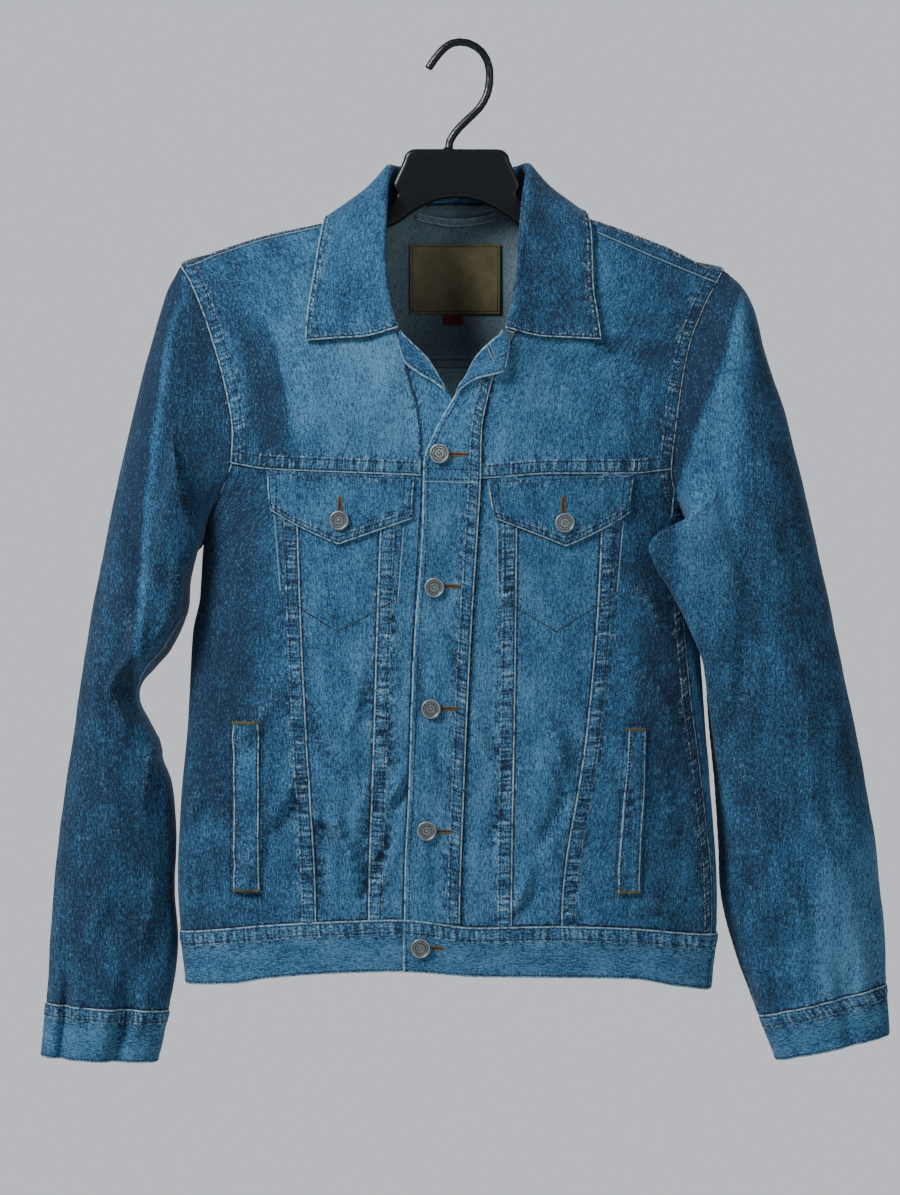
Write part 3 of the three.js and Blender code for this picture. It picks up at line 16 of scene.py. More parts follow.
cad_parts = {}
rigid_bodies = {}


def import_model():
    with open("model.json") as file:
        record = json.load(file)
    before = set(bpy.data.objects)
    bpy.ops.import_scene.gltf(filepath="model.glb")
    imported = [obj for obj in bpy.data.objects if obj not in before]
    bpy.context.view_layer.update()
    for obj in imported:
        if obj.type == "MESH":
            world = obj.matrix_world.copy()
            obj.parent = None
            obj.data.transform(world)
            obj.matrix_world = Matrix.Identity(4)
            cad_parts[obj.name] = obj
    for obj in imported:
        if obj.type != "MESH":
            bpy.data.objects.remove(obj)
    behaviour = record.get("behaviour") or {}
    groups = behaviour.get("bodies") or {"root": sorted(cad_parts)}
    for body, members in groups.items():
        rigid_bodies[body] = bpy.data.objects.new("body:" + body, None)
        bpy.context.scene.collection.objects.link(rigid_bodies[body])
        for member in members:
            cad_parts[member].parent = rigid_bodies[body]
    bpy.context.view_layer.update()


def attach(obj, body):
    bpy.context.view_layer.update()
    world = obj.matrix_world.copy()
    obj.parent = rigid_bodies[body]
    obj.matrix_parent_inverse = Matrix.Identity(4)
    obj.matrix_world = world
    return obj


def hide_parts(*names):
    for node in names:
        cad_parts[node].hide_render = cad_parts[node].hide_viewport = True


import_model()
MM = 0.001

# %% [markdown]
# The jacket was seen from straight ahead and level with its middle, so the hem and the
# hook both show almost straight on. The camera stands 2.955 m in front of the cloth. Its
# narrow angle keeps the sleeves from spreading as they would in a close wide shot.

# %% Camera
CAMERA_X = -0.00863
CAMERA_Z = -0.4758
CAMERA_DISTANCE = 3.0
FRAME_HEIGHT = 1.01575
FRAME_DEPTH = 0.045

bpy.ops.object.camera_add(
    location=(CAMERA_X, -CAMERA_DISTANCE, CAMERA_Z), rotation=(math.pi / 2, 0, 0)
)
camera = bpy.context.object
camera.name = "camera"
camera.data.sensor_fit = "VERTICAL"
camera.data.angle_y = 2 * math.atan(FRAME_HEIGHT / 2 / (CAMERA_DISTANCE - FRAME_DEPTH))
bpy.context.scene.camera = camera
print("camera sees", round(math.degrees(camera.data.angle_y), 2), "degrees from top to bottom")

# %% [markdown]
# The jacket's form is worked out from short tables in millimetres, read as smooth
# curves. A curve through the rows must not swing past them, or the side of the jacket
# would bulge between two measured heights, so its slope at a row is the harmonic mean
# of the slopes on both sides.

# %% Smooth curves through tables
def curves(columns, rows):
    """Smooth curves through a table's rows, read by its first column."""
    data = np.array(sorted(rows), float)
    at_rows = data[:, 0]
    rise = np.diff(data, axis=0) / np.diff(at_rows)[:, None]
    same = rise[:-1] * rise[1:] > 0
    total = np.where(same, rise[:-1] + rise[1:], 1)
    slope = np.zeros_like(data)
    slope[1:-1] = np.where(same, 2 * rise[:-1] * rise[1:] / total, 0)

    def read(at):
        at = np.clip(np.asarray(at, float), at_rows[0], at_rows[-1])
        low = np.clip(np.searchsorted(at_rows, at, side="right") - 1, 0, len(at_rows) - 2)
        span = (at_rows[low + 1] - at_rows[low])[..., None]
        t = (at - at_rows[low])[..., None] / span
        value = data[low] + (data[low + 1] - data[low]) * t * t * (3 - 2 * t)
        value = value + t * (1 - t) ** 2 * slope[low] * span - t * t * (1 - t) * slope[low + 1] * span
        return {name: value[..., index] for index, name in enumerate(columns)}

    return read


def mix(start, end, share):
    """A value part of the way from start to end."""
    return start + (end - start) * share


def bump(distance):
    """1 at no distance, falling softly to 0 at a distance of 1."""
    return np.where(np.abs(distance) < 1, np.cos(np.clip(distance, -1, 1) * math.pi / 2) ** 2, 0)


def ramp(value, start, end):
    """0 at start and 1 at end, with soft ends."""
    t = np.clip((value - start) / (end - start), 0, 1)
    return t * t * (3 - 2 * t)


halfway = curves(("at", "value"), [(0, 0), (10, 5)])(5)["value"]
print("a curve from 0 to 5 reads", float(halfway), "at its middle")

# %% [markdown]
# The body hangs as a flattened tube. Its left and right sides follow the armholes and
# then the side seams, and its depth is that of cloth which falls from the hanger's
# arms. A place on it is given by a height and by how far round it lies: -1 is the left
# side, 0 the middle of the front, 1 the right side, and 2 the middle of the back. A few
# large soft folds are part of the form, because they carry the seams with them.

# %% The body's form
CLOTH = 1.2  # how thick one layer is
GAP = 0.3  # between neighbouring pieces
BACK_SHARE = 0.9  # how deep the back is, as a share of the front
UNDERARM = -430  # the lowest point of the armholes
BEHIND_RIGHT = 1.0001  # just round the right side
BEHIND_LEFT = 2.9999  # just before the left side, coming from behind

BODY = [
    # z, left, right, back_left, back_right, edge, middle, round
    (-190, -240.7, 228.3, -240.7, 228.3, 40, 52, 2),
    (-200, -234.6, 223.5, -235, 224, 40, 52, 2),
    (-228, -222, 208.7, -225, 213, 42, 53, 2),
    (-258, -211.7, 197, -217, 204, 43, 54, 2),
    (-293, -201.6, 189.5, -211, 198, 43, 54, 2),
    (-337, -194.4, 183.3, -207, 194, 42, 54, 2),
    (-365, -195.8, 180.4, -208, 193, 38, 54, 1.9),
    (-386, -204.5, 183.2, -211, 194, 30, 54, 1.6),
    (-407, -215, 191, -216, 197, 18, 54, 1.2),
    (-430, -221, 201, -221, 201, 0, 54, 0.75),
    (-475, -224, 204.5, -224, 204.5, 0, 53, 0.66),
    (-505, -229.9, 206, -229.9, 206, 0, 52, 0.66),
    (-586, -234.7, 211.5, -234.7, 211.5, 0, 50, 0.66),
    (-659, -241, 217.3, -241, 217.3, 0, 48, 0.66),
    (-721, -243.3, 221.5, -243.3, 221.5, 0, 46, 0.66),
    (-765, -240.5, 221, -240.5, 221, 0, 45, 0.66),
    (-812, -236, 215.5, -236, 215.5, 0, 44, 0.66),
]
RIDGE = [
    # x, z of the shoulder seams and of the arch over the neck
    (-240.7, -189.8), (-213, -178.6), (-168, -163.9), (-120.8, -153.6), (-80, -143),
    (-62, -112), (-40, -80), (-2.5, -55), (35, -80), (57, -110),
    (75, -139), (115.6, -150.5), (173.4, -171.7), (228.3, -193.3),
]
DROP = [
    # drop below the ridge, share of the depth that the cloth has reached there
    (0, 0), (1, 0.11), (3, 0.2), (8, 0.3), (20, 0.4), (45, 0.52), (80, 0.66), (130, 0.84), (190, 1),
]
BODY_FOLDS = [
    # side, x, z, lean in degrees, length, width, rise of the body's largest folds
    ("front", -105, -620, 12, 90, 16, 4),
    ("front", -60, -690, -20, 60, 14, -4),
    ("front", -205, -640, 4, 110, 14, -3.5),
    ("front", 70, -640, 8, 100, 16, 3.5),
    ("front", 175, -660, -6, 90, 14, -3.5),
    ("front", -215, -300, -20, 60, 12, -3),
    ("back", -90, -560, -10, 140, 22, 4),
    ("back", 60, -600, 8, 130, 20, -4),
    ("back", 130, -480, 16, 110, 22, 4),
    ("back", -150, -430, -20, 90, 20, -3.5),
]
body_at = curves(("z", "left", "right", "back_left", "back_right", "edge", "middle", "round"), BODY)
ridge_at = curves(("x", "z"), RIDGE)
drop_at = curves(("drop", "share"), DROP)
print(len(BODY), "heights of the body are in the table")

# %% [markdown]
# A point's depth is worked out in steps: how full the body is at that height, how much
# of that the cloth has reached below the shoulder, and what the folds add.

# %% Points of the body
def fold_depth(side, x, z):
    """What the body's largest folds add to its depth."""
    depth = np.zeros(np.shape(x))
    for where, fold_x, fold_z, lean, length, width, rise in BODY_FOLDS:
        if where != side:
            continue
        turn = math.radians(lean)
        down = (x - fold_x) * math.sin(turn) + (z - fold_z) * math.cos(turn)
        over = (x - fold_x) * math.cos(turn) - (z - fold_z) * math.sin(turn)
        depth = depth + rise * bump(down / length) * bump(over / (2 * width))
    return depth


def body_point(around, z):
    """Points of the body's surface, in millimetres."""
    around, z = np.broadcast_arrays(np.asarray(around, float), np.asarray(z, float))
    back = np.abs(around) > 1
    turn = np.where(back, np.sign(around) * 2 - around, around)
    row = body_at(z)
    left = np.where(back, row["back_left"], row["left"])
    right = np.where(back, row["back_right"], row["right"])
    sine = np.sin(turn * math.pi / 2)
    cosine = np.maximum(np.cos(turn * math.pi / 2), 0)
    x = (left + right) / 2 + sine * (right - left) / 2
    swell = row["edge"] + (row["middle"] - row["edge"]) * cosine ** row["round"]
    away = drop_at(ridge_at(x)["z"] - z)["share"]
    fold = np.where(back, fold_depth("back", x, z), fold_depth("front", x, z))
    fold = fold * np.minimum(cosine * 3, 1) * away
    depth = (swell * away + fold) * np.where(back, BACK_SHARE, 1)
    depth = depth + GAP / 2 * np.minimum(row["edge"] / 10, 1)
    return np.stack([x, np.where(back, depth, -depth), z], -1)


def around_at(x, z, back=False):
    """How far round the body a distance across it lies."""
    row = body_at(z)
    left, right = (row["back_left"], row["back_right"]) if back else (row["left"], row["right"])
    turn = np.arcsin(np.clip((2 * x - left - right) / (right - left), -1, 1)) * 2 / math.pi
    return 2 - turn if back else turn


print("body is", round(float(body_point(2, -600)[1] - body_point(0, -600)[1])), "mm deep at its middle")

# %% [markdown]
# The seams are lines on that form: two slanting seams on each front, the side seams,
# the yoke seam across the chest and the top of the waistband. Neighbouring pieces read
# the same line, so they meet all along it.

# %% The seams
SEAMS = [
    # z, outer_left, inner_left, inner_right, outer_right, back_left, back_right
    (-369, -139.9, -65.6, 48.3, 121.4, -118, 98),
    (-417, -137.8, -68.1, 48.3, 119.7, -113, 93),
    (-512, -134.4, -71.5, 47.5, 114.6, -103, 83),
    (-594, -130.3, -73.9, 46.3, 106.6, -94, 74),
    (-750, -122.5, -78.3, 44.1, 85.7, -78, 58),
]
SIDE_SEAM = [
    # z, how far round the right side seam lies
    (-361, 1), (-430, 1), (-452, 0.86), (-478, 0.77), (-551, 0.785),
    (-608, 0.815), (-690, 0.85), (-765, 0.87),
]
LEVELS = [
    # x, yoke, band_top, hem, back_yoke, back_band_top, back_hem
    (-244, -353, -762, -808, -353, -762, -808),
    (-195, -361.4, -758, -806, -361.4, -761, -805),
    (-166, -366.5, -755, -801, -361, -759, -804),
    (-100, -369.9, -751, -796, -360, -757, -802),
    (-47, -372, -749.5, -794.5, -359, -756, -801),
    (14, -375, -756, -798.5, -359, -756, -801),
    (78, -371, -755, -799.5, -360, -757, -802),
    (146, -370.5, -757.5, -801, -362, -760, -804),
    (190, -365.7, -762, -808.5, -365.7, -762, -808.5),
    (226, -365, -764.5, -813, -365, -764.5, -813),
]
SEAM_NAMES = ("outer_left", "inner_left", "inner_right", "outer_right", "back_left", "back_right")
LEVEL_NAMES = ("yoke", "band_top", "hem", "back_yoke", "back_band_top", "back_hem")
seams_at = curves(("z",) + SEAM_NAMES, SEAMS)
side_seam_at = curves(("z", "right"), SIDE_SEAM)
levels_at = curves(("x",) + LEVEL_NAMES, LEVELS)

# x and z of the line where a placket is sewn on, and of its free edge
LEFT_STITCH = [
    (-50.5, -257), (-47, -272), (-44.3, -285), (-37.5, -309.6), (-33.3, -337.6), (-33.3, -372),
    (-35.5, -420), (-40.9, -512), (-45.5, -640), (-49.4, -749.5),
]
LEFT_EDGE = [
    (-47.5, -252), (-34, -265.5), (-25, -275.5), (-15, -292), (-2, -318), (11.5, -360),
    (10, -420), (4, -512), (-1.5, -640), (-6, -751),
]
RIGHT_STITCH = [
    (40.7, -260.3), (33.9, -271), (28.5, -287), (23, -309), (18.6, -332.5), (18, -350),
    (17.7, -372.5), (15, -420), (9.2, -512), (3.5, -640), (-0.1, -753),
]
RIGHT_EDGE = [
    (36.5, -254), (23.7, -260.3), (12.6, -272.2), (4.1, -288.3), (-8.2, -310.4), (-20, -331),
    (-31.2, -362.3), (-32.5, -420), (-39.2, -511.9), (-44, -640), (-47.7, -750),
]
LEFT_NECK = [(-80, -143), (-79.5, -160), (-77.5, -185), (-72, -210), (-63, -235)]
RIGHT_NECK = [(75, -139), (74, -160), (71, -185), (64, -212), (53, -238)]
print(len(SEAM_NAMES), "seams and", len(LEVEL_NAMES), "levels are in the tables")

# %% [markdown]
# A line on the body is a function of one share, from its start at 0 to its end at 1,
# and a piece is a function of two shares, across and down. A piece between four such
# lines is a Coons patch: it is ruled from side to side, and then bent until its upper
# and lower edges fit as well.

# %% Lines and pieces on the body
def through(places):
    """A smooth line down through x and z places, read by its height."""
    return curves(("z", "x"), [(z, x) for x, z in places])


def down_line(places, back=False, line=None):
    """Such a line on the body, from its first place at 0 to its last at 1."""
    heights = [z for x, z in places]
    line = line or through(places)

    def at(share):
        z = np.interp(np.clip(share, 0, 1) * (len(heights) - 1), range(len(heights)), heights)
        return around_at(line(z)["x"], z, back), z

    return at


def along(places):
    """A line through places given as (around, z), evenly by their number."""
    numbers = range(len(places))
    rounds, heights = zip(*places)

    def at(share):
        count = np.clip(share, 0, 1) * (len(places) - 1)
        return np.interp(count, numbers, rounds), np.interp(count, numbers, heights)

    return at


def on_body(places, back=False):
    """x and z places, each given as (around, z)."""
    return [(float(around_at(x, z, back)), z) for x, z in places]


def rim_line(around, top_z, bottom_z):
    """A line down one side of the body."""
    return lambda share: (
        around + 0 * np.asarray(share, float), mix(top_z, bottom_z, np.asarray(share, float))
    )


def coons(left, right, top, bottom):
    """A piece between its four edges."""

    def place(u, v):
        lines = zip(left(v), right(v), top(u), bottom(u), left(0), left(1), right(0), right(1))
        values = []
        for at_left, at_right, at_top, at_bottom, lt, lb, rt, rb in lines:
            ruled = mix(at_left, at_right, u)
            ruled = ruled + (1 - v) * (at_top - mix(lt, rt, u))
            values.append(ruled + v * (at_bottom - mix(lb, rb, u)))
        return body_point(*values)

    return place


def across(left, right):
    """A piece between two lines down the body."""

    def place(u, v):
        start, end = left(v), right(v)
        return body_point(mix(start[0], end[0], u), mix(start[1], end[1], u))

    return place


middle = levels_at(0)
print("yoke seam at", round(float(middle["yoke"]), 1), "and hem at", round(float(middle["hem"]), 1))

# %% [markdown]
# Denim creases where it is bent, pulled or has lain folded. The creases are listed one
# by one, as lines on the front or the back with a width and a depth. Each one is a soft
# ridge with a shallower trough on one side, and runs out at both ends.

# %% Creases
CREASES = {
    "front": [
        # x and z of its start and end, bow to one side, width, rise
        (-150, -240, -120, -330, 8, 12, 1.1),
        (120, -250, 150, -340, 8, 10, -1.1),
        (-150, -545, -215, -610, 10, 9, 1.5),
        (-125, -560, -90, -640, -8, 8, -2.0),
        (-118, -650, -88, -745, 10, 7, 2.0),
        (-95, -560, -55, -640, 8, 7, 1.8),
        (-62, -610, -90, -700, -8, 7, 1.7),
        (-55, -660, -95, -745, 6, 6, -1.8),
        (-70, -480, -55, -560, 6, 6, 1.2),
        (-150, -640, -185, -745, -8, 9, 1.6),
        (-220, -600, -200, -700, 6, 7, 1.5),
        (-210, -690, -165, -745, 6, 8, -1.5),
        (20, -420, 40, -500, 6, 6, 1.2),
        (12, -560, 42, -640, -8, 7, 1.6),
        (42, -600, 20, -700, 6, 6, -1.4),
        (60, -560, 92, -650, 10, 8, 1.8),
        (95, -600, 60, -700, 8, 8, -1.6),
        (70, -680, 88, -748, 6, 7, 1.5),
        (120, -450, 180, -520, 10, 9, 1.8),
        (135, -520, 185, -600, 10, 9, 1.7),
        (118, -600, 150, -690, 8, 9, -1.4),
        (165, -600, 178, -720, 6, 8, 1.5),
        (120, -700, 180, -745, -8, 8, 1.3),
        (-135, -609, -167, -673, 6, 7, 2.0),
        (-59, -503, -40, -577, 8, 7, 1.8),
        (-111, -640, -114, -742, -5, 8, -2.0),
        (-49, -623, -66, -656, 3, 5, 2.2),
        (67, -618, 84, -643, 3, 5, 2.0),
        (-123, -668, -109, -686, 3, 6, -2.2),
        (-224, -640, -234, -668, 3, 7, 1.8),
        (-85, -520, -100, -600, 6, 6, 1.6),
        (60, -700, 40, -748, 4, 6, 1.8),
        (150, -735, 185, -752, 3, 5, 1.8),
        (-205, -735, -150, -750, 3, 5, 1.8),
        (-60, -540, -38, -600, 5, 5, 1.2),
        (-42, -640, -30, -720, 5, 5, 1.1),
        (-25, -490, -5, -560, 5, 5, 1.0),
        (-28, -590, -8, -660, -5, 5, 1.1),
    ],
    "back": [
        (-120, -210, -60, -330, 14, 12, 1.3),
        (110, -220, 60, -330, -14, 12, 1.3),
        (-180, -300, -120, -360, 10, 10, 1.4),
        (170, -310, 110, -360, -8, 10, 1.3),
        (-190, -420, -120, -470, 12, 9, 1.8),
        (185, -410, 120, -470, 12, 9, 1.8),
        (-60, -420, -40, -560, 10, 10, 1.5),
        (30, -400, 50, -520, -10, 10, -1.3),
        (-150, -520, -100, -640, 10, 9, 1.7),
        (140, -540, 90, -650, -10, 9, 1.6),
        (-20, -600, 10, -730, 8, 9, 1.5),
        (-190, -640, -160, -740, 8, 8, 1.4),
        (170, -640, 150, -745, 8, 8, 1.5),
        (-80, -680, -50, -750, 6, 8, -1.3),
        (70, -690, 50, -750, -6, 8, 1.3),
    ],
    "sleeve_left": [
        (-285, -380, -262, -470, -6, 8, -1.4),
        (-300, -470, -268, -540, 8, 8, 1.8),
        (-240, -440, -262, -520, 6, 7, 1.8),
        (-318, -540, -285, -600, 8, 7, 1.6),
        (-322, -600, -290, -690, 8, 9, 1.5),
        (-258, -590, -270, -680, -6, 8, 1.8),
        (-300, -690, -330, -790, 8, 9, 1.3),
        (-262, -700, -285, -800, 6, 9, 1.5),
        (-340, -780, -330, -860, 4, 7, 1.2),
        (-275, -800, -300, -868, 5, 7, -1.4),
    ],
    "sleeve_right": [
        (205, -420, 240, -500, 10, 9, 1.6),
        (262, -380, 285, -480, -8, 10, 1.3),
        (240, -500, 225, -600, 8, 8, -1.5),
        (270, -520, 300, -620, 10, 10, 1.4),
        (232, -610, 262, -690, 8, 9, 1.7),
        (300, -620, 330, -720, -10, 10, 1.3),
        (262, -700, 300, -790, 8, 9, 1.5),
        (330, -740, 345, -840, 8, 9, 1.4),
        (290, -780, 315, -850, -6, 8, 1.5),
    ],
}
print(sum(len(rows) for rows in CREASES.values()), "creases placed")

# %% [markdown]
# Each point near a crease finds the nearest place on it, and on which side of it that
# lies, so the ridge and its trough can be told apart. A seeded noise adds the small
# rumples that no hand would place one by one.

# %% The shape of a crease
CREASE_STEPS = 10  # straight parts of a bowed line
CREASE_HEIGHT = 2.2  # millimetres for a rise of 1
CREASE_NARROW = 0.8  # how sharp a ridge is
CREASE_ENDS = 0.05  # how far it runs on past its ends, as a share of its length
TROUGH = 0.5  # how deep the trough beside it is
TROUGH_AWAY = 1.7  # how far from the ridge the trough lies


def crease_line(x0, z0, x1, z1, bow):
    """Places along one bowed crease, and the direction across it."""
    share = np.linspace(0, 1, CREASE_STEPS + 1)
    across = np.array([-(z1 - z0), x1 - x0]) / math.hypot(x1 - x0, z1 - z0)
    line = np.stack([mix(x0, x1, share), mix(z0, z1, share)], -1)
    return line + across * (bow * np.sin(math.pi * share))[:, None], across


def crease_depth(side, points):
    """What the creases of one side add at points, in millimetres."""
    depth = np.zeros(points.shape[:-1])
    flat = points[..., [0, 2]]
    for x0, z0, x1, z1, bow, width, rise in CREASES.get(side, []):
        line, across = crease_line(x0, z0, x1, z1, bow)
        length = math.hypot(x1 - x0, z1 - z0)
        reach = 4 * width
        near = ((flat > line.min(0) - reach) & (flat < line.max(0) + reach)).all(-1)
        if not near.any():
            continue
        spots = flat[near]
        away = np.linalg.norm(spots[:, None] - line[None], axis=-1)
        best = away.argmin(1)
        signed = np.sign((spots - line[best]) @ across) * away[np.arange(len(best)), best]
        t = ((spots - line[0]) @ (line[-1] - line[0])) / length**2
        within = np.clip((t + CREASE_ENDS) / (1 + 2 * CREASE_ENDS), 0, 1)
        fade = np.where((t > -CREASE_ENDS) & (t < 1 + CREASE_ENDS), np.sin(math.pi * within), 0)
        narrow = CREASE_NARROW * width
        ridge = np.exp(-((signed / narrow) ** 2))
        trough = np.exp(-(((signed - TROUGH_AWAY * narrow) / narrow) ** 2))
        depth[near] += CREASE_HEIGHT * rise * fade * (ridge - TROUGH * trough)
    return depth


def rumple(points, size, seed):
    """Smooth seeded noise at points, with swells of about the given size."""
    flat = points.reshape(-1, 3) / size + seed
    values = np.array([noise.noise(Vector(place)) for place in flat])
    return values.reshape(points.shape[:-1])


print("a crease of rise 1 is", CREASE_HEIGHT, "mm high")

# %% [markdown]
# A material is a tree of nodes, and a procedural one such as this needs many of them.
# The helpers add a node and join it up in one call, and give back the socket that the
# next step reads, so a look can be written down like a sum.

# %% Material helpers
def colour(red, green, blue):
    """A colour from its 0 to 255 values, as the shader wants it."""
    parts = [value / 255 for value in (red, green, blue)]
    return [p / 12.92 if p <= 0.04045 else ((p + 0.055) / 1.055) ** 2.4 for p in parts] + [1.0]


class Shader:
    """A material's node tree, with short ways to add to it."""

    def __init__(self, name):
        self.material = bpy.data.materials.new(name)
        self.material.use_nodes = True
        self.tree = self.material.node_tree
        self.surface = self.tree.nodes["Principled BSDF"]

    def node(self, kind, settings=None, **inputs):
        made = self.tree.nodes.new("ShaderNode" + kind)
        for key, value in (settings or {}).items():
            setattr(made, key, value)
        for key, value in inputs.items():
            self.feed(made.inputs[key.replace("_", " ")], value)
        return made

    def feed(self, socket, value):
        if isinstance(value, bpy.types.NodeSocket):
            self.tree.links.new(value, socket)
        else:
            socket.default_value = value

    def sums(self, operation, first, second=0.0):
        made = self.tree.nodes.new("ShaderNodeMath")
        made.operation = operation
        self.feed(made.inputs[0], first)
        self.feed(made.inputs[1], second)
        return made.outputs[0]

    def blend(self, share, first, second, kind="MIX"):
        made = self.tree.nodes.new("ShaderNodeMix")
        made.data_type = "RGBA"
        made.blend_type = kind
        self.feed(made.inputs[0], share)
        self.feed(made.inputs[6], first)
        self.feed(made.inputs[7], second)
        return made.outputs[2]

    def stretch(self, value, low, high):
        made = self.node("MapRange", None, Value=value)
        made.inputs["From Min"].default_value = low
        made.inputs["From Max"].default_value = high
        return made.outputs[0]

    def soft_step(self, value, start, end):
        """0 at start and 1 at end, whichever is the larger, with soft ends."""
        low, high = min(start, end), max(start, end)
        made = self.node("MapRange", {"interpolation_type": "SMOOTHSTEP"}, Value=value)
        made.inputs["From Min"].default_value = low
        made.inputs["From Max"].default_value = high
        made.inputs["To Min"].default_value = 0.0 if start < end else 1.0
        made.inputs["To Max"].default_value = 1.0 if start < end else 0.0
        return made.outputs[0]

    def pattern(self, vector, scale, detail=2.0, rough=0.5):
        """A noise stretched to a number of swells a metre each way."""
        mapped = self.node("Mapping", None, Vector=vector, Scale=scale)
        settings = {"Scale": 1.0, "Detail": detail, "Roughness": rough}
        return self.node("TexNoise", None, Vector=mapped.outputs[0], **settings).outputs[0]

    def mark(self, key):
        """A number that was stored on a piece's points."""
        return self.node("Attribute", {"attribute_name": key}).outputs["Fac"]

    def finish(self, base, rough, bump=None, strength=0.5, depth=0.0003, **sockets):
        self.feed(self.surface.inputs["Base Color"], base)
        self.feed(self.surface.inputs["Roughness"], rough)
        for key, value in sockets.items():
            self.surface.inputs[key.replace("_", " ")].default_value = value
        if bump is not None:
            made = self.node("Bump", None, Strength=strength, Distance=depth, Height=bump)
            self.tree.links.new(made.outputs[0], self.surface.inputs["Normal"])
        return self.material


def mottled(name, scale, dark, light, detail=1.0, rough=0.5, spread=(0.35, 0.65)):
    """A shader whose colour is a noise between a dark and a light one."""
    shader = Shader(name)
    place = shader.node("TexCoord").outputs["Object"]
    speck = shader.pattern(place, scale, detail, rough)
    return shader, place, speck, shader.blend(shader.stretch(speck, *spread), dark, light)


print("helpers ready, a middle grey is", [round(part, 3) for part in colour(128, 128, 128)[:3]])

# %% [markdown]
# Washed denim shows four things at once: streaks where the warp yarn is uneven, indigo
# that survives beside the seams, white where the cloth has rubbed on high places, and
# the twill's fine slanting ribs. Painted light and shade are mixed in too: a painted
# shadow line beside an edge that lies under a neighbour's band, painted highlights on
# crease ridges and painted shade in their troughs, and the painted light and shade
# carried by the fade. The streaks run along each piece's own length, so they read its
# UV map, in metres. A second UV map gives the distance along the nearest seam and away
# from it, for the rungs of pale and dark that pucker there. How light the fade is, with
# its painted light and shade, and where a crease is worn and highlit on its ridge and
# shaded in its trough, is worked out when a piece is made, and stored on its points.
# All of it stays in steps, from indigo to worn white, as in real cloth.

# %% Denim
# The darkest blue is the cloth's indigo, also used for painted shade and shadow; the worn white is also
# used for painted highlights.
INDIGO_AND_SHADE = colour(14, 31, 60)
SHADE = colour(25, 57, 84)
BLUE = colour(48, 98, 138)
SKY = colour(92, 144, 180)
WORN_AND_HIGHLIGHT = colour(168, 200, 210)
GREY = colour(120, 134, 142)
TWILL_LEAN = math.radians(62)


